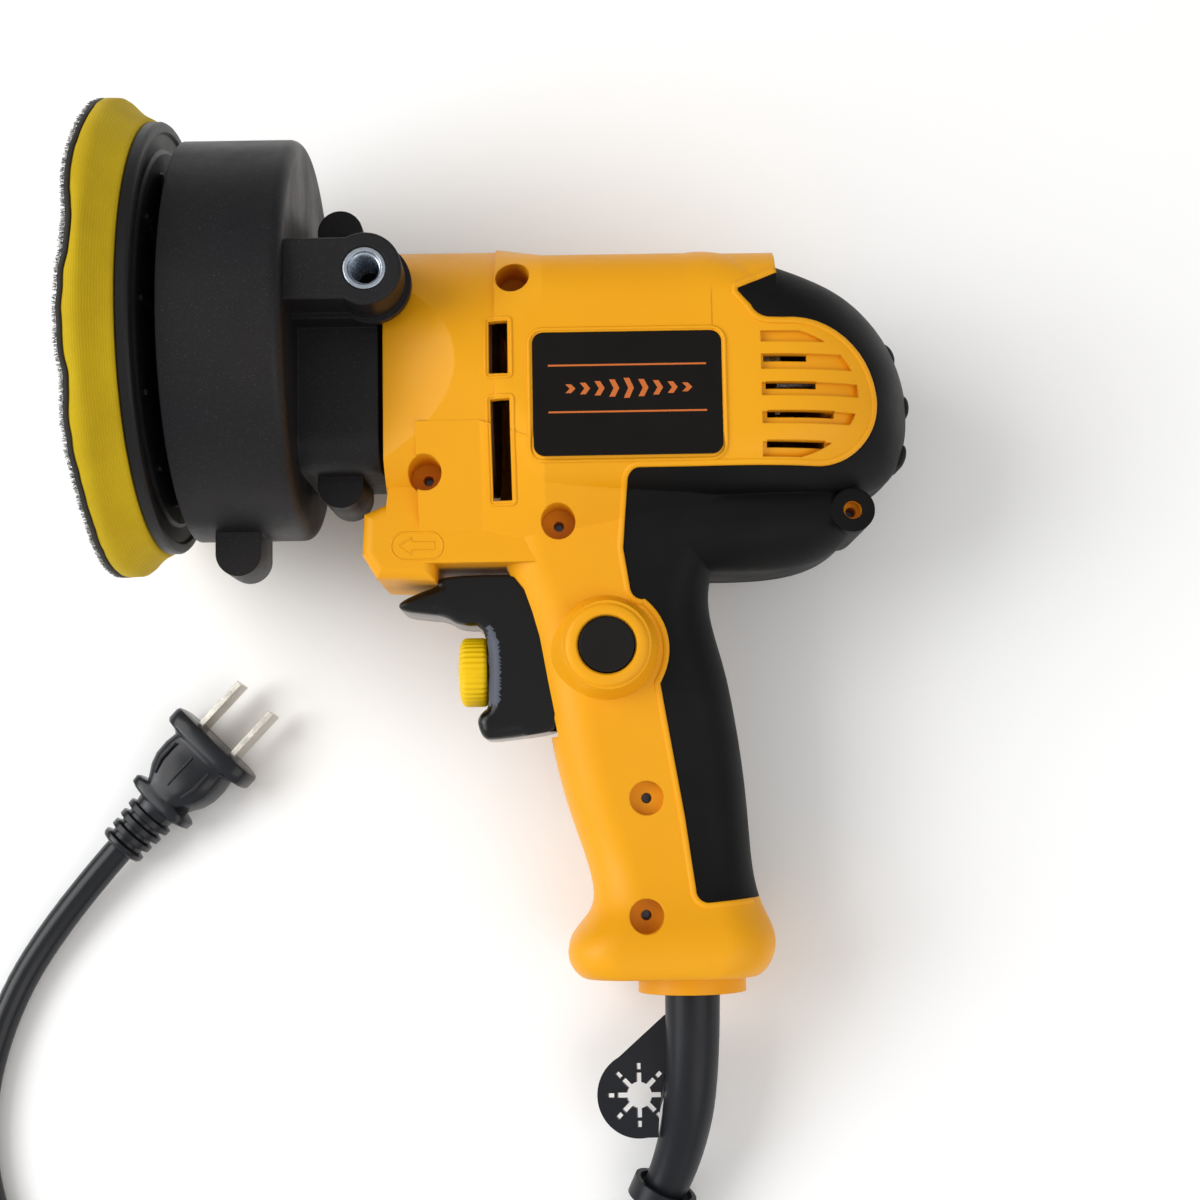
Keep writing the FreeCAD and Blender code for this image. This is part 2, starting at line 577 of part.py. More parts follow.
def build_nose():
    """The two halves of the drum and neck, which clamp the spindle bearing between them."""
    outside = nose_outside()
    wall = size("drum_wall")
    inside = [cylinder(size("drum_radius") - wall, size("drum_front") - 1, -wall),
              cylinder(6.5, -wall - 1, size("bearing_front") + 1),
              cylinder(size("bearing_radius"), size("bearing_front"), size("bearing_back")),
              cylinder(12.5, size("bearing_back"), size("flange_back") + 1),
              cylinder(6.5, size("bearing_back"), size("flange_back") + 1, "x", MOTOR_AT)]
    for side in (1, -1):
        low, high = sorted((side * (size("boss_face") - size("insert_length")),
                            side * (size("boss_face") + 1)))
        inside.append(cylinder(size("insert_radius"), low, high, "z",
                               (size("boss_along"), size("boss_up"))))
    for along, rise, half in NOSE_SCREWS:
        inside.append(cylinder(1.3, -half - 1, half - 2, "z", (along, rise)))
        inside.append(cylinder(3.2, -half - 1, -half + 3, "z", (along, rise)))
    hollow = outside.cut(Part.makeCompound(inside))
    left_space = cuboid((-60, 60), (-90, 60), (0, 60))
    keep_shape("nose_left", hollow.common(left_space))
    keep_shape("nose_right", hollow.common(mirrored(left_space)))
    for label, side in (("handle_insert_left", 1), ("handle_insert_right", -1)):
        low, high = sorted((side * (size("boss_face") - size("insert_length")),
                            side * size("boss_face")))
        at = (size("boss_along"), size("boss_up"))
        sleeve = rod(label + "_sleeve", "insert_radius - 0.01", str(low), str(high), "z", at)
        thread = rod(label + "_thread", "insert_bore", str(low - 1), str(high + 1), "z", at)
        keep(label, without(label + "_cut", sleeve, thread))
    screws = []
    for along, rise, half in NOSE_SCREWS:
        seat = Placement(Vector(along, rise, -half + 0.6), Rotation())
        fastener = screw(2 * half - 6, 3.0, 1.25)
        fastener.Placement = seat
        screws.append(fastener)
    keep_shape("nose_screws", Part.makeCompound(screws))


# ---------------------------------------------------------------- housing
# (station, lowest, highest, half width, corner radius) of each section, along X or Y
TRANSITION = ((50.0, -48.7, 22.3, 35.5, 33.0), (62.0, -46.0, 16.3, 35.5, 15.0))
BARREL = ((62.0, -46.0, 16.3, 35.5, 15.0), (104.0, -46.0, 16.3, 35.5, 15.0))
CREST = ((96.0, -20.0, 16.3, 34.6, 15.0), (120.4, -20.0, 16.3, 34.6, 15.0))
DOME = ((98.0, -46.0, 16.3, 35.5, 15.0), (118.0, -46.0, 13.2, 35.5, 15.0),
        (130.0, -46.0, 9.8, 34.2, 18.0), (140.0, -45.5, 5.6, 30.8, 20.0),
        (148.0, -43.0, -1.5, 25.0, 18.0), (153.0, -38.0, -9.0, 17.0, 13.0),
        (155.6, -31.0, -16.0, 9.0, 6.5))
TAIL = ((86.0, -64.0, -38.0, 20.0, 9.0), (104.0, -64.6, -38.0, 22.5, 11.0),
        (120.0, -64.2, -38.0, 23.0, 12.0), (132.0, -61.5, -38.0, 20.0, 11.0),
        (140.0, -55.5, -38.0, 14.5, 8.0))
GRIP = ((-42.0, 52.0, 106.0, 22.0, 10.0), (-60.0, 51.0, 106.0, 20.5, 10.5),
        (-70.0, 54.0, 103.2, 19.5, 11.0), (-84.0, 58.5, 105.6, 18.6, 12.0),
        (-97.0, 60.8, 108.6, 17.8, 12.0), (-110.0, 63.0, 110.6, 17.0, 12.0),
        (-130.0, 68.4, 112.4, 16.4, 12.0), (-143.0, 72.2, 113.6, 17.2, 12.0),
        (-150.0, 71.6, 115.6, 19.4, 12.5), (-157.0, 66.6, 118.0, 22.6, 13.0),
        (-162.5, 66.2, 117.0, 23.0, 13.0), (-166.5, 69.6, 113.4, 21.0, 12.0))
NOSE_BUMP = ((22.5, -40.0), (21.7, -46.5), (15.8, -49.0), (15.3, -59.5), (19.0, -65.6),
             (33.8, -66.3), (33.8, -62.0), (66.0, -62.0), (66.0, -40.0))
HOUSING_SCREWS = ((54.6, 8.4, 27.0), (31.9, -39.9, 33.0), (65.1, -52.3, 30.0),
                  (86.1, -121.8, 17.0), (85.5, -151.0, 20.0), (139.8, -50.0, 19.0))
REAR_SCREW = HOUSING_SCREWS[-1]
LOCK_AT = (size("lock_along"), -size("lock_drop"))
TRIGGER_WINDOW = ((33.8, -63.3), (49.5, -63.3), (53.5, -65.0), (56.0, -68.2), (58.0, -74.0),
                  (59.8, -80.5), (61.8, -92.0), (63.3, -100.0), (62.8, -105.9),
                  (60.0, -106.4), (10.0, -109.0), (10.0, -66.3), (33.8, -66.3))
# Each entry is the next corner, or the middle and the end of an arc
RUBBER_EDGE = (
    (120.6, 30.0), (120.6, 8.0), (110.2, 3.4), ((112.2, 1.0), (113.8, -0.8)),
    ((115.6, -3.0), (118.4, -3.9)), (122.0, -4.0), ((138.6, -9.6), (145.3, -22.1)),
    ((141.6, -35.0), (129.5, -40.5)),
    (85.6, -40.5), ((83.4, -41.4), (82.5, -43.6)), (81.3, -59.1), (82.9, -69.2),
    ((84.0, -71.2), (86.6, -71.9)), ((92.4, -82.5), (90.0, -93.0)), (95.6, -126.8),
    (97.9, -144.6), ((99.0, -147.2), (101.6, -147.9)), (119.0, -146.6), (170.0, -146.6),
    (170.0, 30.0))
SLOTS = (((48.7, 53.4), (-17.1, -3.8)), ((48.9, 53.7), (-47.1, -23.3)))
# The right side's slots sit this much further forward, so that no ray passes straight through
SLOT_STAGGER = 5.2
CLAMP_POSTS = (size("exit_along") - size("clamp_screw"),
               size("exit_along") + size("clamp_screw"))
# (upper edge, lower edge) of the grooves between the rear louvre's bars
GROOVES = ((-7.4, -10.1), (-13.2, -17.0), (-20.4, -23.6), (-27.7, -30.6), (-35.1, -38.6))
LOUVRES = ((-14.1, 116.6, 127.4), (-21.0, 117.0, 129.6), (-28.2, 117.2, 134.0),
           (-35.5, 117.0, 131.6))
LOUVRE_MIDDLE, LOUVRE_REACH, LOUVRE_HALF = Vector(118.0, -23.0, -50.0), 22.4, 16.6


def housing_form(inset):
    """The housing's outer form, drawn in by inset all over, as one solid."""
    ring = cylinder(size("ring_radius") - inset, size("housing_front") + inset, 51.0, "x",
                    MOTOR_AT)
    bevel_start = 27.0 - inset
    for side in (1, -1):
        wedge = [Vector(20.0, -70.0, side * (bevel_start - 0.8)), Vector(20.0, -70.0, side * 60),
                 Vector(44.0, -70.0, side * 60),
                 Vector(44.0, -70.0, side * (bevel_start + 10.2))]
        face = Part.Face(Part.makePolygon(wedge + wedge[:1]))
        ring = ring.cut(face.extrude(Vector(0, 120, 0)))
    skirt_half = size("ring_radius") - inset
    skirt_ends = []
    for along, up, wide, low, narrow in (
            (30.0 + inset, -28.0, skirt_half - 3.1, -56.0, 19.0 - inset),
            (46.0, -28.0, skirt_half - 3.1, -56.0, 19.0 - inset),
            (62.0, -34.0, skirt_half - 0.2, -57.0 + inset, 20.0 - inset),
            (126.0 - inset, -34.0, 31.0 - inset, -50.0 + inset, 17.0 - inset)):
        corners = [Vector(along, up, wide), Vector(along, low, narrow),
                   Vector(along, low, -narrow), Vector(along, up, -wide)]
        skirt_ends.append(Part.makePolygon(corners + corners[:1]))
    skirt = Part.makeLoft(skirt_ends, True, True)
    bump = prism(NOSE_BUMP, -20.0, 20.0)
    if inset:
        bump = bump.makeOffsetShape(-inset, 0.01, join=2)
    else:
        upright = [edge for edge in bump.Edges
                   if edge.CenterOfMass.x < 40 and abs(edge.CenterOfMass.z) > 19
                   and edge.CenterOfMass.y < -47]
        bump = bump.makeFillet(3.0, upright)
    rear_along, rear_up, rear_half = REAR_SCREW
    pieces = [ring, lofted(TRANSITION, "x", inset, 0.0), lofted(BARREL, "x", inset),
              lofted(CREST, "x", inset), lofted(DOME, "x", inset), lofted(TAIL, "x", inset),
              lofted(GRIP, "y", inset),
              skirt, bump,
              cylinder(5.6 - inset, -rear_half + inset, rear_half - inset, "z",
                       (rear_along, rear_up)),
              cylinder(size("collar_radius") - inset, -size("exit_drop") + inset, -160.0, "y",
                       (size("exit_along"), 0.0))]
    if inset < size("wall"):
        pieces.append(Part.makeCone(15.2 - inset, 11.2 - inset, 12.0,
                                    Vector(*LOCK_AT, 12.2 - inset), Z_AXIS))
    return pieces[0].multiFuse(pieces[1:])


LEFT_SPACE = cuboid((-60.0, 180.0), (-190.0, 60.0), (0.0, 60.0))


def screw_bosses(outer):
    """The bosses that carry the housing screws, trimmed to the housing's form."""
    posts = [cylinder(4.9, -half, half, "z", (along, up)) for along, up, half in HOUSING_SCREWS]
    posts += [cylinder(3.4, -20.0, 0.0, "z", (along, -size("clamp_drop")))
              for along in CLAMP_POSTS]
    recess_walls = [cylinder(5.2, side * 16.0 - 16.0, side * 16.0 + 16.0, "z", (along, up))
                    for side in (1, -1) for along, up, half in HOUSING_SCREWS[:5]]
    walls = [wall.cut(cuboid((-60, 180), (-190, 60), (-13.0, 13.0))) for wall in recess_walls]
    return Part.makeCompound(posts + walls).common(outer)


def inner_ribs(cavity):
    """Ribs that carry the bearing plate, the field core and the rear bearing."""
    low, high = size("plate_front"), size("bearing_plate_back")
    rear_low = size("rear_bearing_front")
    rear_high = rear_low + size("motor_bearing_width")
    bores = ((low, high, size("bearing_plate_radius") + 0.02),
             (69.0, 71.0, size("field_radius") + 0.02), (97.0, 99.0, size("field_radius") + 0.02),
             (rear_low, rear_high, size("motor_bearing")))
    ribs = []
    for start, end, radius in bores:
        slab = cuboid((start, end), (-49.0, 30.0), (-40.0, 40.0))
        ribs.append(slab.cut(cylinder(radius, start, end, "x", MOTOR_AT)))
    return Part.makeCompound(ribs).common(cavity)


def housing_cuts():
    """Everything that opens the housing: slots, window, recesses and bores."""
    cuts = []
    for side in (1, -1):
        deep = sorted((side * 20.0, side * 45.0))
        stagger = 0.0 if side > 0 else SLOT_STAGGER
        for across, rise in SLOTS:
            cuts.append(cuboid((across[0] - stagger, across[1] - stagger), rise, deep))
        for rise, start, end in LOUVRES:
            cuts.append(cuboid((start, end), (rise - 0.8, rise + 0.8), deep))
        label_deep = sorted((side * (size("ring_radius") - 0.8), side * 45.0))
        recess = cuboid((59.4, 106.2), (-38.0, -7.0), label_deep)
        upright = [edge for edge in recess.Edges
                   if abs(edge.tangentAt(edge.FirstParameter).z) > 0.9]
        cuts.append(recess.makeFillet(2.8, upright))
        for along, up, half in HOUSING_SCREWS:
            floor = half - 5.0 if half == REAR_SCREW[2] else 13.0
            ends = sorted((side * floor, side * 45.0))
            radius = 2.4 if half == REAR_SCREW[2] else 4.3
            cuts.append(cylinder(radius, ends[0], ends[1], "z", (along, up)))
    cuts += [cylinder(1.3, -14.0, 14.0, "z", (along, up)) for along, up, half in HOUSING_SCREWS]
    cuts += [cylinder(1.27, -6.0, 0.0, "z", (along, -size("clamp_drop")))
             for along in CLAMP_POSTS]
    cuts.append(prism(TRIGGER_WINDOW, -40.0, 40.0))
    half = size("trigger_half") + 0.4
    cuts.append(cuboid((45.0, size("switch_front")), (-105.9, -63.4), (-half, half)))
    cuts.append(cylinder(size("lock_radius") + 0.3, 17.8, 40.0, "z", LOCK_AT))
    cuts.append(cylinder(size("lock_radius") + 2.2, 12.0, 17.8, "z", LOCK_AT))
    cuts.append(cylinder(size("spigot_radius") + 0.3, 20.0, size("flange_front"), "x",
                         (size("neck_middle"), 0.0)))
    cuts.append(cylinder(size("guard_radius") + 0.3, -175.0, -160.0, "y",
                         (size("exit_along"), 0.0)))
    return Part.makeCompound(cuts)


def louvre_space():
    """The grooves between the rear louvre's bars, inside its rounded outline."""
    low_side = Part.Ellipse(LOUVRE_MIDDLE, LOUVRE_REACH, LOUVRE_HALF).toShape()
    outline_prism = Part.Face(Part.Wire(low_side)).extrude(Vector(0, 0, 100.0))
    rows = [cuboid((LOUVRE_MIDDLE.x - 2.0, 150.0), (low, high), (-50.0, 50.0))
            for high, low in GROOVES]
    return Part.makeCompound(rows).common(outline_prism)


def build_housing():
    """Two clamshell halves with overmoulded rubber, their screws and the side labels."""
    outer = housing_form(0.0)
    under_rubber = housing_form(size("rubber"))
    cavity = housing_form(size("wall"))
    region = curved_prism(RUBBER_EDGE, -60.0, 60.0)
    outer_layer = outer.cut(under_rubber)
    skin = outer_layer.common(region)
    grooves = outer_layer.common(louvre_space())
    shell = outer.cut(cavity).cut(skin).cut(grooves)
    flange = cylinder(size("flange_radius") + 0.3, size("flange_front") - 0.1,
                      size("plate_front"), "x", (size("neck_middle"), 0.0))
    shell = shell.fuse(inner_ribs(cavity)).fuse(screw_bosses(under_rubber))
    cuts = housing_cuts()
    shell = shell.cut(cuts).cut(flange)
    skin = skin.cut(cuts)
    for side, space in (("left", LEFT_SPACE), ("right", mirrored(LEFT_SPACE))):
        for name, whole in (("housing_", shell), ("rubber_grip_", skin)):
            half = whole.common(space)
            pieces = sorted(half.Solids, key=lambda solid: -solid.Volume)
            keep_shape(name + side, pieces[0])
    screws = []
    for along, up, half in HOUSING_SCREWS:
        reach = half - 5.0 if half == REAR_SCREW[2] else 13.0
        fastener = screw(reach + 9.0, 2.2 if half == REAR_SCREW[2] else 3.4, 1.25)
        fastener.Placement = Placement(Vector(along, up, -reach - 2.2), Rotation())
        screws.append(fastener)
    keep_shape("housing_screws", Part.makeCompound(screws))
    for side, low in (("left", "ring_radius - 0.8"), ("right", "-ring_radius")):
        plate = block("label_plate_" + side, [("59.5", "106.1"), ("-37.9", "-7.1"),
                                              (low, low + " + 0.8")])
        doc.recompute()
        label = doc.addObject("Part::Fillet", "label_" + side)
        label.Base = plate
        label.Edges = [(index, 2.7, 2.7) for index, edge in enumerate(plate.Shape.Edges, start=1)
                       if abs(edge.tangentAt(edge.FirstParameter).z) > 0.9]
        keep("label_" + side, label)


# ---------------------------------------------------------------- trigger and controls
TRIGGER = ((65.0, -64.2), (34.4, -64.0), (34.0, -66.7), (29.0, -68.2), (24.6, -70.2),
           (23.3, -71.7), (24.6, -73.1), (30.5, -73.9), (35.5, -74.7), (38.9, -76.9),
           (42.8, -98.6), (43.6, -102.0), (44.6, -105.4), (46.4, -106.6), (60.5, -104.9),
           (65.0, -103.8))


def build_controls():
    """The switch with its trigger, speed dial and lock-on button."""
    half = size("trigger_half")
    body = prism(TRIGGER, -half, half)
    rims = [edge for edge in body.Edges if abs(abs(edge.CenterOfMass.z) - half) < 0.01
            and edge.CenterOfMass.x < 44]
    body = body.makeFillet(0.9, rims)
    recess = prism(((30.0, -76.9), (46.5, -76.9), (46.7, -97.9), (43.9, -99.4), (42.2, -101.4),
                    (30.0, -101.4)), -20.0, 20.0)
    shoulders = []
    for side in (1, -1):
        corner = [Vector(46.4, -77.4, side * 7.2), Vector(46.4, -77.4, side * 12.0),
                  Vector(50.2, -77.4, side * 12.0)]
        slope = Part.Face(Part.makePolygon(corner + corner[:1]))
        shoulders.append(slope.extrude(Vector(1.6, -19.4, 0)))
    recess = recess.multiFuse(shoulders)
    stem = cuboid((64.0, 71.5), (-91.4, -85.4), (-3.0, 3.0))
    drop = size("dial_drop")
    axle_way = cylinder(2.05, 40.0, 60.0, "x", (-drop, 0.0))
    keep_shape("trigger", body.cut(recess).fuse(stem).cut(axle_way))
    dial = Placement(Vector(0, -drop, 0), Rotation())
    turned("speed_dial", [("dial_front", "0"), ("dial_front + 0.4", "4.5"),
                          ("dial_front + 1.6", "7.2"), ("dial_front + 3.2", "dial_radius"),
                          ("dial_back", "dial_radius"), ("dial_back", "2"), ("58", "2"),
                          ("58", "0")], dial)
    case = block("switch_case", [("switch_front", "switch_back"), ("-106", "-68"),
                                 ("-switch_half", "switch_half")])
    way = block("stem_way", [("switch_front - 1", "switch_front + trigger_travel + 1"),
                             ("-92.4", "-84.4"), ("-4.4", "4.4")])
    lock_way = rod("lock_way", "2.8", "switch_half - 1.5", "switch_half + 1", "z",
                   ("lock_along", "-lock_drop"))
    keep("switch_body", without("switch_cut", case, joined("switch_ways", [way, lock_way])))
    keep_shape("trigger_spring", spring(5.0, 0.4, 5.8, 5),
               Placement(Vector(65.4, -drop, 0), ALONG["x"]))
    lock_at = ("lock_along", "-lock_drop")
    keep("lock_button", joined("lock_parts", [
        rod("lock_cap", "lock_radius", "17.6", "25.2", "z", lock_at),
        rod("lock_flange", "lock_radius + 1", "16.2", "17.7", "z", lock_at),
        rod("lock_stem", "2.5", "12.0", "16.3", "z", lock_at)]))
    keep_shape("lock_spring", spring(4.6, 0.4, 6.1, 5),
               Placement(Vector(*LOCK_AT, size("switch_half") + 0.35), Rotation()))
    clamp = block("clamp_bar", [("exit_along - 9.5", "exit_along + 9.5"),
                                ("-clamp_drop - 3", "-clamp_drop + 3"), ("0.1", "5.6")])
    holes = joined("clamp_ways", [
        rod("clamp_groove", "cord_radius - 0.1", "-clamp_drop - 4", "-clamp_drop + 4", "y",
            ("exit_along", "0")),
        rod("clamp_hole_front", "1.7", "0", "8", "z", ("exit_along - clamp_screw", "-clamp_drop")),
        rod("clamp_hole_back", "1.7", "0", "8", "z", ("exit_along + clamp_screw", "-clamp_drop"))])
    keep("cord_clamp", without("cord_clamp_cut", clamp, holes))
    screws = []
    for along in CLAMP_POSTS:
        fastener = screw(9.0, 2.6, 1.25)
        fastener.Placement = Placement(Vector(along, -size("clamp_drop"), 7.9),
                                       Rotation(X_AXIS, 180))
        screws.append(fastener)
    keep_shape("cord_clamp_screws", Part.makeCompound(screws))


# ---------------------------------------------------------------- how the tool lies
def surface_points(label):
    """Points all over a sub-part's surface, in the tool frame."""
    thing, seat = PIECES[label]
    return [seat.multVec(point) for point in thing.Shape.tessellate(0.15)[0]]


def rest_placement():
    """The tool laid on its pad, the back of its barrel and the foot of its grip."""
    pad = surface_points("hook_disc")
    right_side = surface_points("housing_right") + surface_points("rubber_grip_right")
    barrel = [point for point in right_side if point.x > 90 and point.y > -62]
    foot = [point for point in right_side if point.y < -135]
    normal = Vector(0, 0, 1)
    for _ in range(12):
        pad_low, barrel_low, foot_low = [
            min(zone, key=normal.dot) for zone in (pad, barrel, foot)]
        normal = (foot_low - pad_low).cross(barrel_low - pad_low).normalize()
    forward = (X_AXIS - normal * normal.dot(X_AXIS)).normalize()
    turn = Rotation(forward, normal.cross(forward), normal, "ZXY").inverted()
    lifted = [turn.multVec(point) for label in ("hook_disc", "nose_left", "nose_right",
              "housing_left", "housing_right", "rubber_grip_left", "rubber_grip_right",
              "trigger", "lock_button") for point in surface_points(label)]
    middle = [-(min(values) + max(values)) / 2
              for values in ([point.x for point in lifted], [point.y for point in lifted])]
    return Placement(Vector(middle[0], middle[1], -min(point.z for point in lifted)), turn)


# ---------------------------------------------------------------- cord, in the row frame
GUARD_ROUTE = ((45.3, -137.0, 20.1), (41.2, -155.5, 12.6), (33.5, -171.0, 8.6))
TOOL_ROUTE = (GUARD_ROUTE[-1], (24.8, -189.6, 4.1), (16.3, -219.0, 4.05), (8.0, -247.3, 4.05))
PLUG_ROUTE = ((-87.9, -256.5, 12.0), (-103.0, -232.0, 9.4), (-121.0, -208.0, 4.3),
              (-141.5, -184.0, 4.05), (-152.5, -154.0, 4.05), (-149.0, -124.0, 4.05),
              (-134.5, -95.5, 4.6), (-113.0, -73.0, 7.6))
COIL_CENTRE = (-42.0, -230.0)
COIL_LAYERS, COIL_TURNS = 2, 3
TUBE_TOLERANCE = 0.02
PLUG_FACE = 39.5


def path_wire(points):
    """Straight runs joined by tangent arcs, each as large as its two runs allow."""
    points = [Vector(*point) for point in points]
    edges = []
    reached = points[0]
    for before, corner, after in zip(points, points[1:], points[2:]):
        inward, outward = (corner - before), (after - corner)
        shorter = min(inward.Length, outward.Length)
        inward.normalize()
        outward.normalize()
        half_turn = inward.getAngle(outward) / 2
        trim = 0.45 * shorter
        start, end = corner - inward * trim, corner + outward * trim
        chord_middle = (start + end) * 0.5
        bulge = (corner - chord_middle).normalize()
        radius = trim / math.tan(half_turn)
        depth = radius * (1 - math.cos(half_turn))
        edges.append(Part.LineSegment(reached, start).toShape())
        edges.append(Part.Arc(start, chord_middle + bulge * depth, end).toShape())
        reached = end
    edges.append(Part.LineSegment(reached, points[-1]).toShape())
    return Part.Wire(edges)


def tube(name, points, radius):
    """A round tube along a route, with its volume compared to its section and length."""
    wire = path_wire(points)
    direction = Vector(*points[1]) - Vector(*points[0])
    profile = Part.Wire(Part.makeCircle(radius, Vector(*points[0]), direction))
    solid = wire.makePipeShell([profile], True, True)
    share = solid.Volume / (math.pi * radius ** 2 * wire.Length)
    if abs(share - 1) > TUBE_TOLERANCE:
        raise ValueError("%s holds %.4f of its section times its length" % (name, share))
    return solid


def build_cord(rest):
    """The cord guard with its key holder, the cord's runs and coil, and the plug."""
    leaving = rest.Rotation.multVec(Vector(0, -1, 0))
    exit_point = rest.multVec(Vector(size("exit_along"), -size("exit_drop"), 0))
    start = exit_point - leaving * 9
    route = [tuple(start)] + list(GUARD_ROUTE)
    guard = tube("cord_guard", route, size("guard_radius"))
    root = Part.makeCylinder(size("guard_radius") + 2, 3, start - leaving * 1.5, leaving)
    keep_row("cord_guard", guard.fuse(root).removeSplitter())
    runs = (("cord_run_tool", TOOL_ROUTE), ("cord_run_plug", PLUG_ROUTE))
    for name, points in runs:
        keep_row(name, tube(name, points, size("cord_radius")))
    diameter = 2 * size("cord_radius")
    middle = size("coil_radius")
    reach = COIL_TURNS * diameter / 2
    ring = [Part.makeCylinder(radius, COIL_LAYERS * diameter, Vector(*COIL_CENTRE, 0))
            for radius in (middle + reach, middle - reach)]
    keep_row("cord_coil", ring[0].cut(ring[1]))
    build_key_holder(guard)
    build_plug()


def build_key_holder(guard):
    """A rubber flap with a star-shaped hole against the guard, and the loop at the guard's end."""
    low, high = 15.0, 18.0
    lobe = Vector(31.0, -141.5, low)
    flap = Part.makeCylinder(10.8, high - low, lobe)
    web = [Vector(38.0, -121.5, low), Vector(43.0, -121.5, low), Vector(43.0, -152.0, low),
           Vector(33.2, -152.1, low), Vector(22.4, -135.0, low)]
    flap = flap.fuse(Part.Face(Part.makePolygon(web + web[:1])).extrude(Vector(0, 0, high - low)))
    holes = [Part.makeCylinder(3.3, 9, lobe - Vector(0, 0, 3))]
    for step in range(8):
        ray = Part.makeBox(3.6, 1.3, 9, Vector(2.0, -0.65, -3))
        outer = Part.makeBox(1.6, 1.1, 9, Vector(6.4, -0.55, -3))
        for hole in (ray, outer):
            hole.rotate(Vector(), Z_AXIS, 45 * step)
            hole.translate(lobe)
            holes.append(hole)
    flap = flap.cut(Part.makeCompound(holes))
    last, before = Vector(*GUARD_ROUTE[-1]), Vector(*GUARD_ROUTE[-2])
    away = (last - before).normalize()
    loop = Part.makeCylinder(size("guard_radius") + 1.3, 5, last - away * 7.5, away)
    keep_row("key_holder", Part.makeCompound([flap.cut(guard), loop.cut(guard)]))


def build_plug():
    """A two-blade plug with a ribbed boot, lying on the floor."""
    end, before = Vector(*PLUG_ROUTE[-1]), Vector(*PLUG_ROUTE[-2])
    forward = Vector(end.x - before.x, end.y - before.y, 0).normalize()
    seat = Placement(end, Rotation(forward, Z_AXIS.cross(forward), Z_AXIS, "XZY"))
    boot = Part.makeCone(4.4, 5.4, 18, Vector(), X_AXIS)
    ribs = [Part.makeCylinder(6.4, 1.9, Vector(3.4 * step, 0, 0), X_AXIS) for step in range(5)]
    collar = cuboid((15.6, 18.4), (-10.2, 10.2), (-5.6, 6.2))
    waist = cuboid((17.0, 34.5), (-10.4, 10.4), (-6.8, 7.4))
    flange = cuboid((34.0, PLUG_FACE), (-14.6, 14.6), (-7.4, 8.0))
    blocks = []
    for item, corner in ((collar, 3.0), (waist, 4.0), (flange, 4.5)):
        edges = [edge for edge in item.Edges if abs(edge.tangentAt(edge.FirstParameter).x) > 0.9]
        blocks.append(item.makeFillet(corner, edges))
    plug = boot.multiFuse(ribs + blocks).removeSplitter()
    blades = [cuboid((PLUG_FACE, PLUG_FACE + 16.0), (side * 6.35 - 0.75, side * 6.35 + 0.75),
                     (-3.15, 3.15)) for side in (1, -1)]
    for name, shape in (("plug_body", plug), ("plug_blades", Part.makeCompound(blades))):
        shape.Placement = seat
        keep_row(name, shape)


def keep_row(label, shape):
    """Register a shape that is already in the row frame."""
    keep_shape(label, shape)


build_pad()
build_drive()
build_motor()
build_nose()
build_housing()
build_controls()
doc.recompute()
REST = rest_placement()
print("REST", [round(number, 6) for number in REST.Matrix.A])
for label, (thing, seat) in PIECES.items():
    thing.Placement = REST.multiply(seat)
build_cord(REST)
faults = [item.Name for item in doc.Objects if {"Invalid", "Error"} & set(item.State)]
faults += [label for label, (thing, seat) in PIECES.items()
           if thing.Shape.isNull() or not thing.Shape.isValid()]
if faults:
    raise RuntimeError("failed objects: " + ", ".join(faults))
os.makedirs("parts", exist_ok=True)
for label, (thing, seat) in PIECES.items():
    print(label, len(thing.Shape.Solids), round(thing.Shape.Volume, 1))
    thing.Shape.exportStep("parts/%s.step" % label)
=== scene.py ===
"""A pistol-grip car polisher lying on its side, with its cord and plug.

Pieces are modelled in the tool frame, in millimetres: +X runs rearwards along the spindle from
the drum's rear wall, +Y points up the tool and +Z out of its left side. TOOL carries that
frame to the row frame, in metres. The cord lies in the row frame.
"""
import json
import math
import random

import bmesh
import bpy
from mathutils import Matrix, Vector, noise
from mathutils.bvhtree import BVHTree
from mathutils.geometry import delaunay_2d_cdt


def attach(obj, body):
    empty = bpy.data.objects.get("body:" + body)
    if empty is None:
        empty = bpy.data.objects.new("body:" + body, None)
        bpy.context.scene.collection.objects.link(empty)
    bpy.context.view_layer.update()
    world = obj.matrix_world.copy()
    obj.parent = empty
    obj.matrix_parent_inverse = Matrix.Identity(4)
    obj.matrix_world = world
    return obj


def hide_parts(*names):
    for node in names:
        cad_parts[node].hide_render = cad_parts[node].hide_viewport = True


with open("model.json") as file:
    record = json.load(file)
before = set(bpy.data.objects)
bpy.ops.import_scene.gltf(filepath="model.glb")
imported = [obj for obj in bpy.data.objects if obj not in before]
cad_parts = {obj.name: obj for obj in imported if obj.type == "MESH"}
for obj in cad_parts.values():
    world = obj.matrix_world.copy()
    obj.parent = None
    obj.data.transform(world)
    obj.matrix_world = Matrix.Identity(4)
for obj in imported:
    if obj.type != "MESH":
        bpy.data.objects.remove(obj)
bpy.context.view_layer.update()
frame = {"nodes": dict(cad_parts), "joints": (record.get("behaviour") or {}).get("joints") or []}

MM = 0.001
NODES = frame["nodes"]
JOINTS = {joint["name"]: joint for joint in frame["joints"]}
SPINDLE_AT = Vector(JOINTS["spindle_spin"]["pos_m"])
ALONG = Vector(JOINTS["spindle_spin"]["axis"]).normalized()
OUT = -Vector(JOINTS["lock_press"]["axis"]).normalized()
UP = OUT.cross(ALONG).normalized()
TURN = Matrix((ALONG, UP, OUT)).transposed()
TOOL = Matrix.Translation(SPINDLE_AT) @ TURN.to_4x4() @ Matrix.Scale(MM, 4)
BACK = TOOL.inverted()


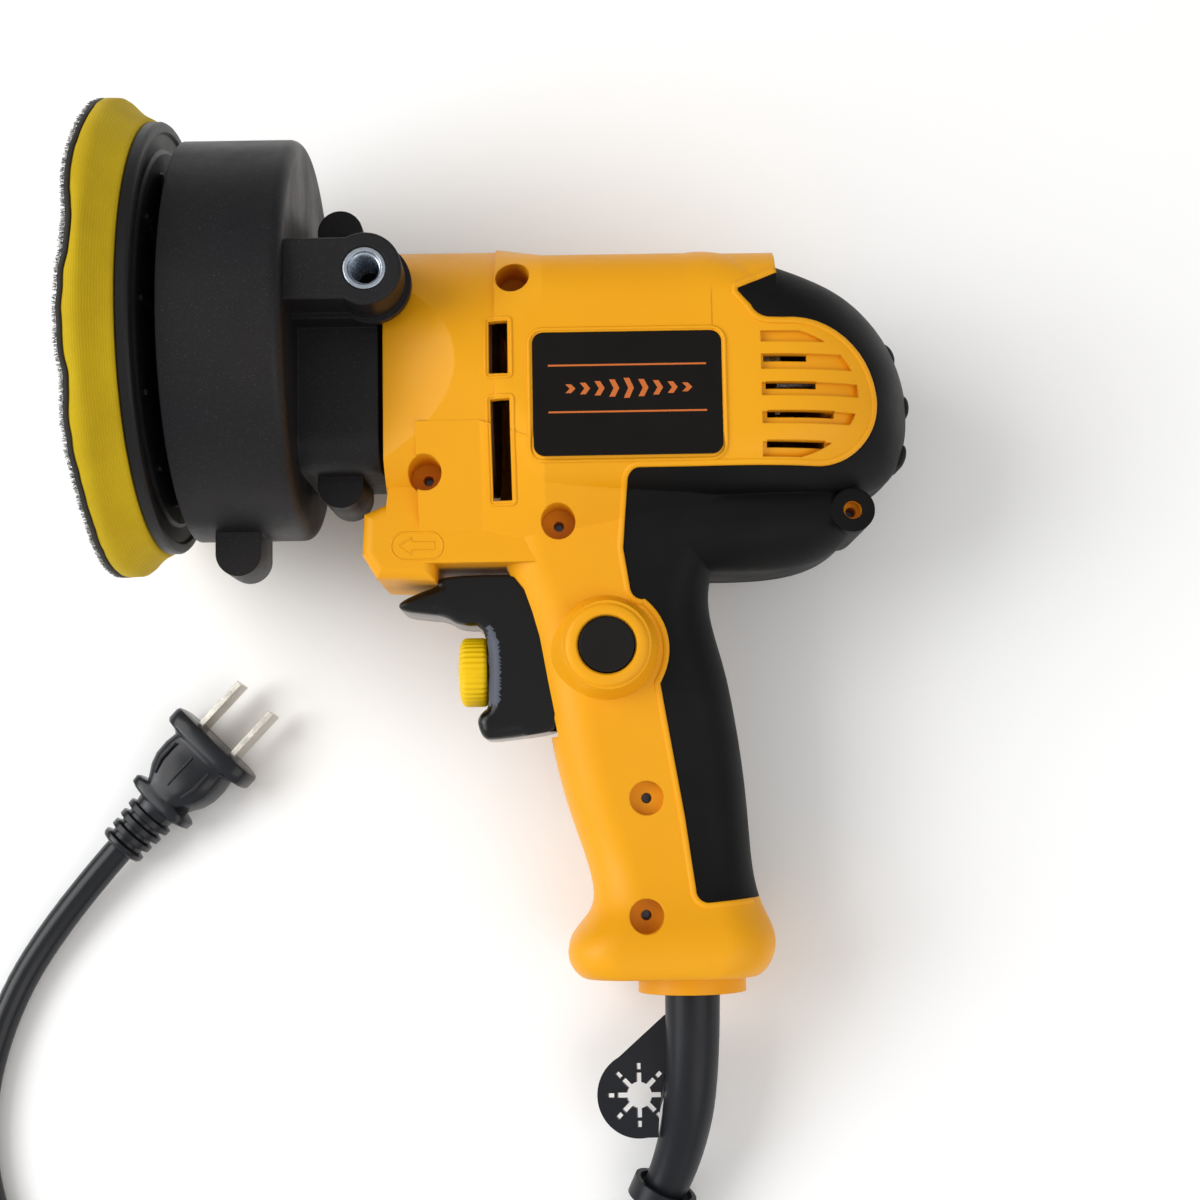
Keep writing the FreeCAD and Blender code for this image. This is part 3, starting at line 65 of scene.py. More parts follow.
def at(x, y, z):
    """A point of the tool frame, in the row frame."""
    return TOOL @ Vector((x, y, z))


def span(node):
    """A node's lowest and highest corners in the tool frame, from its own vertices."""
    points = [BACK @ vertex.co for vertex in NODES[node].data.vertices]
    return [Vector([pick(point[axis] for point in points) for axis in range(3)])
            for pick in (min, max)]


# ---------------------------------------------------------------- camera
CAMERA_AT = (71.4, -123.7, 503.5)
CAMERA_TURN = (-6.1, 0.4, 1.0)
LENS = 58.0


def make_camera():
    """The camera looks down on the tool's left side, a little from below its grip."""
    data = bpy.data.cameras.new("camera")
    data.sensor_width = 36.0
    data.lens = LENS
    camera = bpy.data.objects.new("camera", data)
    bpy.context.scene.collection.objects.link(camera)
    turn = Vector([math.radians(angle) for angle in CAMERA_TURN])
    seen = Matrix.Rotation(turn.length, 3, turn.normalized()).transposed()
    camera.matrix_world = Matrix.Translation(at(*CAMERA_AT)) @ (TURN @ seen).to_4x4()
    bpy.context.scene.camera = camera


make_camera()


# ---------------------------------------------------------------- mesh helpers
def add_piece(name, vertices, faces, material, body="root", to_row=TOOL, smooth=True):
    """A mesh piece that rides on a body; its vertices are in the tool frame unless told."""
    mesh = bpy.data.meshes.new(name)
    mesh.from_pydata([to_row @ Vector(vertex) for vertex in vertices], [], faces)
    mesh.validate()
    work = bmesh.new()
    work.from_mesh(mesh)
    bmesh.ops.recalc_face_normals(work, faces=work.faces)
    work.to_mesh(mesh)
    work.free()
    for polygon in mesh.polygons:
        polygon.use_smooth = smooth
    piece = bpy.data.objects.new(name, mesh)
    bpy.context.scene.collection.objects.link(piece)
    mesh.materials.append(material)
    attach(piece, body)
    return piece


def sharpen(piece, degrees=32):
    """Smooth shading except across edges sharper than an angle."""
    piece.data.set_sharp_from_angle(angle=math.radians(degrees))


def grid_faces(rows, columns, closed_rows=False, closed_columns=True):
    """Quads of a grid of vertices, row by row."""
    faces = []
    for row in range(rows if closed_rows else rows - 1):
        for column in range(columns if closed_columns else columns - 1):
            nxt_row, nxt = (row + 1) % rows, (column + 1) % columns
            faces.append((row * columns + column, row * columns + nxt,
                          nxt_row * columns + nxt, nxt_row * columns + column))
    return faces


def turned(profile, centre, segments=96, shape=None):
    """Vertices and faces of a closed (station, radius) profile turned about an X axis.

    shape(angle, station, radius) may move each point."""
    vertices = []
    for station, radius in profile:
        for step in range(segments):
            angle = math.tau * step / segments
            place, reach = shape(angle, station, radius) if shape else (station, radius)
            vertices.append((place, centre[0] + reach * math.cos(angle),
                             centre[1] + reach * math.sin(angle)))
    return vertices, grid_faces(len(profile), segments, closed_rows=True)


def tube(points, radii, sides=16, closed=False, squash=1.0, normal=None):
    """Vertices and faces of a tube along points with its own radius at each."""
    points = [Vector(point) for point in points]
    count = len(points)
    vertices = []
    side = normal.copy() if normal else None
    for index, point in enumerate(points):
        before = points[index - 1] if index or closed else points[0]
        after = points[(index + 1) % count] if index + 1 < count or closed else points[-1]
        ahead = (after - before).normalized()
        if side is None:
            side = ahead.orthogonal()
        side = (side - ahead * side.dot(ahead)).normalized()
        across = ahead.cross(side)
        for step in range(sides):
            angle = math.tau * step / sides
            reach = radii[index] if hasattr(radii, "__len__") else radii
            vertices.append(point + side * (reach * squash * math.cos(angle))
                            + across * (reach * math.sin(angle)))
    faces = grid_faces(count, sides, closed_rows=closed)
    if not closed:
        faces.append(tuple(range(sides)))
        faces.append(tuple(range((count - 1) * sides, count * sides)))
    return vertices, faces


def merge(parts):
    """Several (vertices, faces) as one."""
    vertices, faces = [], []
    for more, rings in parts:
        start = len(vertices)
        vertices += list(more)
        faces += [tuple(index + start for index in ring) for ring in rings]
    return vertices, faces


def slab(outline, low, high):
    """A closed outline in X and Y between two heights."""
    count = len(outline)
    vertices = [(x, y, z) for z in (low, high) for x, y in outline]
    faces = [tuple(range(count)), tuple(range(count, 2 * count))]
    for index in range(count):
        after = (index + 1) % count
        faces.append((index, after, count + after, count + index))
    return vertices, faces


def rounded_box_outline(low, high, corner, steps=6):
    """Points round a rounded rectangle from its low to its high corner."""
    points = []
    for x, y, start in ((high[0] - corner, high[1] - corner, 0), (low[0] + corner, high[1] - corner, 90),
                        (low[0] + corner, low[1] + corner, 180), (high[0] - corner, low[1] + corner, 270)):
        for step in range(steps + 1):
            angle = math.radians(start + 90 * step / steps)
            points.append((x + corner * math.cos(angle), y + corner * math.sin(angle)))
    return points


def spread(outline, gap, closed=True):
    """Extra points along a polyline, so that no run is longer than gap."""
    points = []
    count = len(outline)
    for index in range(count if closed else count - 1):
        first, second = Vector(outline[index]), Vector(outline[(index + 1) % count])
        pieces = max(1, math.ceil((second - first).length / gap))
        points += [tuple(first.lerp(second, step / pieces)) for step in range(pieces)]
    if not closed:
        points.append(tuple(outline[-1]))
    return points


def softened(outline, rounds=2, closed=True):
    """A polyline with its corners cut off a few times, which rounds them."""
    points = [Vector(point) for point in outline]
    for _ in range(rounds):
        cut = [] if closed else [points[0]]
        count = len(points)
        for index in range(count if closed else count - 1):
            first, second = points[index], points[(index + 1) % count]
            cut += [first.lerp(second, 0.25), first.lerp(second, 0.75)]
        points = cut if closed else cut + [points[-1]]
    return [tuple(point) for point in points]


# ---------------------------------------------------------------- materials
def new_material(name, colour, roughness, metallic=0.0, coat=0.0, sheen=0.0, coat_rough=0.1,
                 specular=0.5):
    """A principled material and its shader and tree."""
    material = bpy.data.materials.new(name)
    material.use_nodes = True
    tree = material.node_tree
    shader = tree.nodes["Principled BSDF"]
    shader.inputs["Base Color"].default_value = (*colour, 1)
    shader.inputs["Roughness"].default_value = roughness
    shader.inputs["Metallic"].default_value = metallic
    shader.inputs["Coat Weight"].default_value = coat
    shader.inputs["Coat Roughness"].default_value = coat_rough
    shader.inputs["Sheen Weight"].default_value = sheen
    shader.inputs["Specular IOR Level"].default_value = specular
    return material, tree, shader


def node(tree, kind, **settings):
    """A shader node with its inputs and properties set by name."""
    made = tree.nodes.new(kind)
    for key, value in settings.items():
        if key in made.inputs:
            made.inputs[key].default_value = value
        else:
            setattr(made, key, value)
    return made


def coordinates(tree, scale=(1, 1, 1), turn=(0, 0, 0)):
    """Object coordinates, which are metres in the row frame, scaled and turned."""
    source = node(tree, "ShaderNodeTexCoord")
    mapping = node(tree, "ShaderNodeMapping")
    mapping.inputs["Scale"].default_value = scale
    mapping.inputs["Rotation"].default_value = turn
    tree.links.new(source.outputs["Object"], mapping.inputs["Vector"])
    return mapping.outputs["Vector"]


def fleck(tree, scale, detail=3.0, roughness=0.55, where=None):
    """A noise texture's value at a scale in features per metre."""
    texture = node(tree, "ShaderNodeTexNoise", Scale=scale, Detail=detail, Roughness=roughness)
    tree.links.new(where or coordinates(tree), texture.inputs["Vector"])
    return texture.outputs["Fac"]


def ranged(tree, value, low, high, out_low, out_high):
    """A value moved from one range to another, and kept inside it."""
    remap = node(tree, "ShaderNodeMapRange")
    for key, number in (("From Min", low), ("From Max", high), ("To Min", out_low),
                        ("To Max", out_high)):
        remap.inputs[key].default_value = number
    tree.links.new(value, remap.inputs["Value"])
    return remap.outputs["Result"]


def mixed(tree, share, first, second):
    """Two colours mixed by a value."""
    mix = node(tree, "ShaderNodeMix", data_type="RGBA")
    for socket, colour in ((6, first), (7, second)):
        if isinstance(colour, tuple):
            mix.inputs[socket].default_value = (*colour, 1)
        else:
            tree.links.new(colour, mix.inputs[socket])
    tree.links.new(share, mix.inputs[0])
    return mix.outputs[2]


def bumped(tree, shader, heights, rounding=0.0):
    """Stacked bumps from (value, strength, depth in metres), over rounded edges if asked."""
    normal = None
    if rounding:
        soft = node(tree, "ShaderNodeBevel", samples=4, Radius=rounding)
        normal = soft.outputs["Normal"]
    for value, strength, depth in heights:
        bump = node(tree, "ShaderNodeBump", Strength=strength, Distance=depth)
        tree.links.new(value, bump.inputs["Height"])
        if normal:
            tree.links.new(normal, bump.inputs["Normal"])
        normal = bump.outputs["Normal"]
    tree.links.new(normal, shader.inputs["Normal"])


def moulded(name, colour, other, roughness, spread_rough=0.08, grain=1500.0, depth=0.00006,
            rounding=0.0005, coat=0.0, patch=22.0, share=0.35, specular=0.22):
    """Moulded plastic: slow colour drift, a fine eroded grain, and handled patches."""
    material, tree, shader = new_material(name, colour, roughness, coat=coat, coat_rough=0.2,
                                          specular=specular)
    drift = ranged(tree, fleck(tree, patch, 2.0), 0.35, 0.7, 0.0, share)
    tree.links.new(mixed(tree, drift, colour, other), shader.inputs["Base Color"])
    worn = ranged(tree, fleck(tree, 60.0, 4.0), 0.3, 0.75, roughness - spread_rough,
                  roughness + spread_rough)
    tree.links.new(worn, shader.inputs["Roughness"])
    bumped(tree, shader, [(fleck(tree, grain, 2.0), 0.35, depth),
                          (fleck(tree, 90.0, 2.0), 0.12, 0.0003)], rounding)
    return material


def metal(name, colour, roughness, brushed=(60.0, 60.0, 60.0), rounding=0.0003):
    """Bare or plated metal with fine marks and uneven polish."""
    material, tree, shader = new_material(name, colour, roughness, metallic=1.0)
    marks = fleck(tree, 30.0, 6.0, 0.7, coordinates(tree, brushed))
    uneven = ranged(tree, marks, 0.3, 0.7, roughness * 0.6, roughness * 1.5)
    tree.links.new(uneven, shader.inputs["Roughness"])
    tint = mixed(tree, ranged(tree, fleck(tree, 200.0), 0.4, 0.65, 0.0, 0.5), colour,
                 tuple(channel * 0.72 for channel in colour))
    tree.links.new(tint, shader.inputs["Base Color"])
    bumped(tree, shader, [(marks, 0.25, 0.00004)], rounding)
    return material


def foam_cloth():
    """Yellow foam whose skin is knitted in fine rows round the rim, its knit's valleys darkened as painted
    shade.
    """
    colour = (0.58, 0.41, 0.009)
    material, tree, shader = new_material("foam_skin", colour, 0.75, specular=0.15)
    place = coordinates(tree, turn=tuple(TURN.inverted().to_euler()))
    rows = node(tree, "ShaderNodeTexWave", Scale=560.0, Distortion=2.2, Detail=2.0,
                bands_direction="X")
    tree.links.new(place, rows.inputs["Vector"])
    knots = fleck(tree, 900.0, 2.0, 0.6, place)
    knit = node(tree, "ShaderNodeMath", operation="MULTIPLY")
    tree.links.new(rows.outputs["Fac"], knit.inputs[0])
    tree.links.new(knots, knit.inputs[1])
    shade = ranged(tree, fleck(tree, 45.0, 4.0), 0.35, 0.7, 0.0, 0.7)
    soiled = mixed(tree, shade, colour, (0.47, 0.31, 0.007))
    # Painted shade: the knit's low places are darkened towards brown.
    pore_shade = ranged(tree, knit.outputs[0], 0.0, 0.6, 0.22, 0.0)
    tree.links.new(mixed(tree, pore_shade, soiled, (0.25, 0.16, 0.004)), shader.inputs["Base Color"])
    bumped(tree, shader, [(knit.outputs[0], 0.3, 0.00015), (fleck(tree, 260.0), 0.3, 0.0002)])
    return material


def hook_fibre():
    """Grey-white nylon hooks; noise paints many of them charcoal as painted shade between the strands."""
    material, tree, shader = new_material("hook_fibre", (0.4, 0.39, 0.37), 0.5, sheen=0.1,
                                          specular=0.3)
    # Painted shade: noise darkens many hooks to charcoal, standing in for shade between strands.
    strand_shade = ranged(tree, fleck(tree, 1200.0, 2.0), 0.42, 0.6, 0.0, 1.0)
    tree.links.new(mixed(tree, strand_shade, (0.46, 0.45, 0.42), (0.035, 0.035, 0.04)),
                   shader.inputs["Base Color"])
    return material


def drum_plastic():
    """Black glass-filled plastic with a cold sparkle and broad patches of painted brown reflection."""
    black = (0.008, 0.008, 0.0098)
    material, tree, shader = new_material("drum_plastic", black, 0.46, specular=0.22)
    # Painted reflection: broad noise patches tint the black towards brown.
    brown_reflection_share = ranged(tree, fleck(tree, 16.0, 2.0), 0.4, 0.66, 0.0, 0.7)
    base = mixed(tree, brown_reflection_share, black, (0.013, 0.0095, 0.0078))
    sparkle = ranged(tree, fleck(tree, 3200.0, 1.0), 0.66, 0.74, 0.0, 0.55)
    tree.links.new(mixed(tree, sparkle, base, (0.06, 0.066, 0.085)), shader.inputs["Base Color"])
    worn = ranged(tree, fleck(tree, 70.0, 5.0), 0.3, 0.72, 0.36, 0.54)
    tree.links.new(worn, shader.inputs["Roughness"])
    scratch = fleck(tree, 9.0, 2.0, 0.5, coordinates(tree, (3.0, 60.0, 60.0), (0.4, 0.2, 0.9)))
    line = ranged(tree, scratch, 0.64, 0.66, 0.0, 1.0)
    bumped(tree, shader, [(fleck(tree, 1700.0, 2.0), 0.5, 0.00007),
                          (fleck(tree, 120.0, 3.0), 0.2, 0.0002), (line, 0.15, 0.00003)], 0.0006)
    return material


def soft_rubber():
    """Soft-touch rubber: nearly black, low sheen, with faint moulding haze."""
    black = (0.0035, 0.0034, 0.0036)
    material, tree, shader = new_material("soft_rubber", black, 0.5, specular=0.12)
    haze = ranged(tree, fleck(tree, 26.0, 3.0), 0.4, 0.7, 0.0, 0.8)
    tree.links.new(mixed(tree, haze, black, (0.007, 0.0066, 0.0066)), shader.inputs["Base Color"])
    tree.links.new(ranged(tree, fleck(tree, 45.0, 4.0), 0.3, 0.7, 0.42, 0.6),
                   shader.inputs["Roughness"])
    bumped(tree, shader, [(fleck(tree, 2400.0, 2.0), 0.35, 0.00004),
                          (fleck(tree, 60.0, 2.0), 0.12, 0.0003)], 0.0008)
    return material


def printed_label():
    """A satin label with a trace of print texture."""
    material, tree, shader = new_material("label_film", (0.0055, 0.0042, 0.0034), 0.36,
                                          specular=0.14)
    bumped(tree, shader, [(fleck(tree, 1300.0, 2.0), 0.2, 0.00003),
                          (fleck(tree, 55.0, 2.0), 0.15, 0.0002)], 0.0003)
    tree.links.new(ranged(tree, fleck(tree, 110.0, 4.0), 0.3, 0.7, 0.3, 0.44),
                   shader.inputs["Roughness"])
    return material


YELLOW = moulded("yellow_nylon", (0.80, 0.352, 0.006), (0.75, 0.305, 0.005), 0.42, grain=1700.0,
                 specular=0.2)
BLACK = moulded("black_nylon", (0.008, 0.008, 0.009), (0.012, 0.0105, 0.01), 0.42)
DRUM = drum_plastic()
RUBBER = soft_rubber()
GLOSSY = moulded("glossy_black", (0.004, 0.0036, 0.0036), (0.006, 0.0056, 0.006), 0.2, 0.05,
                 grain=900.0, depth=0.00002, rounding=0.0009, coat=0.2)
BUTTON = moulded("button_black", (0.0055, 0.0045, 0.004), (0.008, 0.007, 0.006), 0.38, 0.05)
# Painted reflection: a blue-grey for the rounded edges beside the trigger's dial bay.
BAY_REFLECTION = moulded("trigger_bay_reflection", (0.075, 0.085, 0.115), (0.06, 0.068, 0.09), 0.45)
LEMON = moulded("lemon_dial", (0.82, 0.52, 0.002), (0.76, 0.46, 0.002), 0.42, grain=1200.0)
FOAM = foam_cloth()
HOOKS = hook_fibre()
HOOK_BACKING = moulded("hook_backing", (0.03, 0.028, 0.026), (0.05, 0.047, 0.044), 0.7)
CORD_SKIN = moulded("cord_skin", (0.0085, 0.0095, 0.0125), (0.014, 0.015, 0.018), 0.26, 0.06,
                    grain=1400.0, depth=0.00003, rounding=0.0, coat=0.15)
GUARD_SKIN = moulded("guard_skin", (0.0095, 0.0105, 0.0135), (0.015, 0.015, 0.02), 0.36, 0.07,
                     grain=1400.0, depth=0.00004, rounding=0.0003)
LABEL = printed_label()
ORANGE_INK = moulded("orange_ink", (0.56, 0.14, 0.03), (0.48, 0.11, 0.025), 0.45, rounding=0.0)
BROWN = moulded("brown_phenolic", (0.16, 0.075, 0.03), (0.10, 0.045, 0.02), 0.45)
ZINC = metal("zinc_plate", (0.50, 0.55, 0.62), 0.26)
STEEL = metal("ground_steel", (0.56, 0.56, 0.57), 0.28)
DARK_STEEL = metal("blackened_steel", (0.13, 0.13, 0.14), 0.4)
IRON = metal("cast_iron", (0.2, 0.2, 0.21), 0.55)
COPPER = metal("enamelled_copper", (0.58, 0.22, 0.07), 0.35)
BRASS = metal("brass", (0.66, 0.47, 0.19), 0.3)
BRONZE = metal("sintered_bronze", (0.42, 0.25, 0.1), 0.5)
ALUMINIUM = metal("die_cast", (0.62, 0.62, 0.64), 0.42)
BLADE = metal("nickel_blade", (0.68, 0.64, 0.58), 0.22, (10.0, 10.0, 80.0))
CARBON = moulded("carbon", (0.02, 0.02, 0.021), (0.03, 0.03, 0.03), 0.55)

FINISH = {
    "housing_left": YELLOW, "housing_right": YELLOW, "nose_left": DRUM, "nose_right": DRUM,
    "rubber_grip_left": RUBBER, "rubber_grip_right": RUBBER, "trigger": GLOSSY,
    "lock_button": BUTTON, "label_left": LABEL, "label_right": LABEL, "pad_plate": BLACK,
    "pad_stud": ZINC, "pad_shaft": STEEL, "counterweight": IRON, "pad_bearing": STEEL,
    "spindle": STEEL, "spindle_gear": DARK_STEEL, "spindle_bearing": STEEL,
    "spindle_bush": BRONZE, "bearing_plate": ALUMINIUM, "armature_shaft": STEEL,
    "armature_core": DARK_STEEL, "armature_windings": COPPER, "commutator": COPPER,
    "cooling_fan": BROWN, "motor_front_bearing": STEEL, "motor_rear_bearing": STEEL,
    "field_core": DARK_STEEL, "field_coils": COPPER, "brush_holders": BRASS,
    "carbon_brushes": CARBON, "brush_springs": STEEL, "nose_screws": DARK_STEEL,
    "housing_screws": DARK_STEEL, "switch_body": BLACK, "trigger_spring": STEEL,
    "lock_spring": STEEL, "cord_clamp": BLACK, "cord_clamp_screws": DARK_STEEL,
    "key_holder": GUARD_SKIN, "plug_blades": BLADE,
}


def finish_nodes():
    """Give every carried-over node its material."""
    for name, material in FINISH.items():
        mesh = NODES[name].data
        if not mesh.materials:
            mesh.materials.append(material)
        for index in range(len(mesh.materials)):
            mesh.materials[index] = material


# ---------------------------------------------------------------- cord
CORD_RADIUS, GUARD_RADIUS, GUARD_TIP = 4.0, 7.1, 5.4
EXIT = at(97.3, -171.0, 0.0) / MM
GUARD_ROUTE = ((45.3, -137.0, 20.1), (41.2, -155.5, 12.6), (33.5, -171.0, 8.6))
TOOL_ROUTE = ((24.8, -189.6, 4.1), (16.3, -219.0, 4.05), (8.0, -247.3, 4.05))
PLUG_ROUTE = ((-87.9, -256.5, 12.0), (-103.0, -232.0, 9.4), (-121.0, -208.0, 4.3),
              (-141.5, -184.0, 4.05), (-152.5, -154.0, 4.05), (-149.0, -124.0, 4.05),
              (-134.5, -95.5, 4.6), (-113.0, -73.0, 7.6))
COIL_CENTRE = (-42.0, -230.0)
COIL_RADIUS, COIL_PITCH, COIL_TURNS = 45.0, 8.0, 3
COIL_START, COIL_STEPS = -20.0, 18
COIL_LAST_TURN = 130.0
STEP_TURN = 60.0


def coil_points():
    """Two layers of three turns, inwards and then outwards, each turn a step from the last."""
    layer_turns = COIL_TURNS * 360.0
    sweep = (2 * COIL_TURNS - 1) * 360.0 + COIL_LAST_TURN
    outer = COIL_RADIUS + (COIL_TURNS - 1) * COIL_PITCH / 2
    points = []
    for index in range(int(sweep * COIL_STEPS / 360.0) + 1):
        turned_by = index * 360.0 / COIL_STEPS
        turn, rest = divmod(turned_by, 360.0)
        step = max(0.0, (rest - (360.0 - STEP_TURN)) / STEP_TURN)
        level = 0.0
        if turn < COIL_TURNS - 1:
            inwards = turn + step
        elif turn == COIL_TURNS - 1:
            inwards, level = COIL_TURNS - 1, step
        else:
            inwards, level = 2 * COIL_TURNS - 1 - turn - step, 1.0
        radius = outer - COIL_PITCH * max(0.0, inwards)
        angle = math.radians(COIL_START - turned_by)
        points.append((COIL_CENTRE[0] + radius * math.cos(angle),
                       COIL_CENTRE[1] + radius * math.sin(angle),
                       CORD_RADIUS + 0.05 + level * COIL_PITCH))
    return points


def cord_curve(name, points):
    """A smooth open spline through control points in millimetres of the row frame."""
    data = bpy.data.curves.new(name, "CURVE")
    data.dimensions = "3D"
    data.resolution_u = 8
    spline = data.splines.new("NURBS")
    spline.points.add(len(points) - 1)
    for point, place in zip(spline.points, points):
        point.co = (*(Vector(place) * MM), 1)
    spline.order_u = 3
    spline.use_endpoint_u = True
    return data


def centreline(curve):
    """The points that a curve object with no bevel runs through."""
    mesh = bpy.data.meshes.new_from_object(curve.evaluated_get(
        bpy.context.evaluated_depsgraph_get()))
    points = [vertex.co.copy() for vertex in mesh.vertices]
    bpy.data.meshes.remove(mesh)
    return points


def line_lengths(points):
    """The distance along a line at each of its points."""
    reached = [0.0]
    for first, second in zip(points, points[1:]):
        reached.append(reached[-1] + (second - first).length)
    return reached


def make_cord():
    """The mains cord from the grip to the plug, with its tapered guard."""
    route = [tuple(EXIT), *GUARD_ROUTE, *TOOL_ROUTE, *coil_points(), *PLUG_ROUTE]
    data = cord_curve("mains_cord", route)
    cord = bpy.data.objects.new("mains_cord", data)
    bpy.context.scene.collection.objects.link(cord)
    line = centreline(cord)
    reached = line_lengths(line)
    data.bevel_depth = CORD_RADIUS * MM
    data.bevel_resolution = 6
    data.use_fill_caps = True
    data.materials.append(CORD_SKIN)
    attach(cord, "root")
    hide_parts("cord_run_tool", "cord_coil", "cord_run_plug")
    inner = (line[0] - line[1]).normalized()
    guard_end = 59.0 * MM
    covered = [line[0] + inner * 8.0 * MM]
    covered += [point for point, far in zip(line, reached) if far <= guard_end]
    total = len(covered)
    radii = []
    for index in range(total):
        share = index / (total - 1)
        radii.append((GUARD_RADIUS + (GUARD_TIP - GUARD_RADIUS) * share ** 1.3) * MM)
    tip = (covered[-1] - covered[-2]).normalized()
    for ahead, reach in ((0.5, GUARD_TIP - 0.15), (0.9, GUARD_TIP - 0.55), (1.0, CORD_RADIUS + 0.05)):
        covered.append(covered[total - 1] + tip * ahead * MM)
        radii.append(reach * MM)
    shape = tube(covered, radii, 32)
    guard = add_piece("tapered_guard", *shape, GUARD_SKIN, to_row=Matrix())
    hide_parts("cord_guard")
    return cord, guard, reached[-1]


CORD, GUARD, measured = make_cord()
print("cord length", round(measured, 4))


# ---------------------------------------------------------------- plug
def plug_frame():
    """The plug's frame: +X out of its face, +Z up, its origin at the boot's first rib."""
    end, before = Vector(PLUG_ROUTE[-1]), Vector(PLUG_ROUTE[-2])
    forward = Vector((end.x - before.x, end.y - before.y, 0)).normalized()
    up = Vector((0, 0, 1))
    turn = Matrix((forward, up.cross(forward), up)).transposed().to_4x4()
    return Matrix.Translation(end * MM) @ turn @ Matrix.Scale(MM, 4)


def soft_section(half_across, low, high, power=3.2, steps=40):
    """Points round a superellipse in the plug's Y and Z."""
    middle, half = (low + high) / 2, (high - low) / 2
    points = []
    for step in range(steps):
        angle = math.tau * step / steps
        c, s = math.cos(angle), math.sin(angle)
        points.append((half_across * math.copysign(abs(c) ** (2 / power), c),
                       middle + half * math.copysign(abs(s) ** (2 / power), s)))
    return points


# (station, half width, lowest, highest) of the plug's sections, from cord to face
PLUG_SECTIONS = (
    (-0.6, 4.4, -4.4, 4.4), (0.0, 6.0, -6.0, 6.0), (0.6, 6.4, -6.4, 6.4), (1.6, 6.4, -6.4, 6.4),
    (2.1, 4.9, -4.9, 4.9), (3.2, 4.9, -4.9, 4.9), (3.7, 6.3, -6.2, 6.3), (5.2, 6.3, -6.2, 6.3),
    (5.7, 5.0, -5.0, 5.0), (6.6, 5.0, -5.0, 5.0), (7.1, 6.6, -6.2, 6.3), (8.6, 6.6, -6.2, 6.3),
    (9.1, 5.2, -5.1, 5.2), (10.0, 5.2, -5.1, 5.2), (10.5, 6.9, -6.2, 6.3), (12.0, 6.9, -6.2, 6.3),
    (12.5, 5.6, -5.2, 5.4), (14.6, 6.0, -5.3, 5.6), (15.2, 8.6, -5.4, 6.0), (15.8, 9.9, -5.6, 6.2),
    (17.6, 10.1, -5.6, 6.2), (18.2, 9.4, -5.5, 6.2), (18.8, 6.6, -5.6, 6.3), (20.5, 7.6, -6.0, 6.7),
    (23.0, 9.2, -6.4, 7.1), (26.0, 10.2, -6.7, 7.4), (30.0, 10.4, -6.8, 7.4),
    (33.2, 9.9, -6.6, 7.2), (34.0, 11.0, -6.7, 7.3), (34.6, 13.9, -7.2, 7.8),
    (35.4, 14.5, -7.4, 8.0), (38.4, 14.5, -7.4, 8.0), (39.2, 14.1, -7.1, 7.7),
    (39.5, 13.2, -6.4, 7.0))


def make_plug():
    vertices, rows = [], 0
    steps = 40
    for station, half, low, high in PLUG_SECTIONS:
        power = 2.2 if station < 15 else 3.6
        ring = soft_section(half, low, high, power, steps)
        vertices += [(station, across, height) for across, height in ring]
        rows += 1
    faces = grid_faces(rows, steps)
    faces += [tuple(range(steps)), tuple(range((rows - 1) * steps, rows * steps))]
    grips = []
    for across in (-6.5, 0.0, 6.5):
        line = [(22.0, across * 0.8, 6.9), (26.0, across, 7.5), (32.0, across, 7.5)]
        grips.append(tube(line, [0.3, 0.4, 0.3], 8))
    plug = add_piece("moulded_plug", *merge([(vertices, faces), *grips]), CORD_SKIN,
                     to_row=plug_frame())
    sharpen(plug, 38)
    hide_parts("plug_body")


make_plug()
finish_nodes()


# ---------------------------------------------------------------- backing pad
def pad_centre():
    """The pad's axis in the tool frame's Y and Z."""
    centre = BACK @ Vector(JOINTS["pad_spin"]["pos_m"])
    return centre.y, centre.z


def wavy(angle, amount, seed):
    """A slow uneven wave round the pad."""
    spot = Vector((math.cos(angle) * 1.7, math.sin(angle) * 1.7, seed))
    return amount * noise.noise(spot)


DENTS = ((math.radians(78), 0.16, 1.6), (math.radians(112), 0.10, 1.2),
         (math.radians(200), 0.18, 1.0), (math.radians(318), 0.14, 1.3))


def rim_shift(angle):
    """How far the pad's worn rim is pushed back at an angle."""
    shift = wavy(angle, 0.9, 3.0) + 0.25 * noise.noise(Vector((math.cos(angle) * 14,
                                                               math.sin(angle) * 14, 5.0)))
    for middle, width, depth in DENTS:
        away = (angle - middle + math.pi) % math.tau - math.pi
        shift += depth * math.exp(-(away / width) ** 2)
    return shift


def make_foam():
    """The foam: its face carries the hooks, its side tapers back to the plate."""
    low, high = span("pad_foam")
    front, back = low.x, high.x
    rim, heel = 62.2, 56.9
    side = [(front + 0.05, 0.5), (front, rim - 3.0), (front + 0.15, rim - 0.7), (front + 0.7, rim),
            (front + 3.6, rim - 0.1), (front + 4.6, rim - 0.7), (front + 5.6, rim - 1.75),
            (front + 7.0, rim - 3.1), (front + 8.6, rim - 4.3), (back - 0.9, heel + 0.35),
            (back - 0.2, heel), (back, heel - 0.9), (back, 0.5)]

    def worn(angle, station, radius):
        near_rim = max(0.0, 1 - (station - front) / 5.0) * (radius > 50)
        bulge = 0.3 * wavy(angle, 1.0, 9.0) * (radius > 50)
        return station + near_rim * max(-0.3, rim_shift(angle)), radius + bulge

    vertices, faces = turned(side, pad_centre(), 360, worn)
    foam = add_piece("foam_pad", vertices, faces, FOAM, "pad")
    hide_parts("pad_foam")


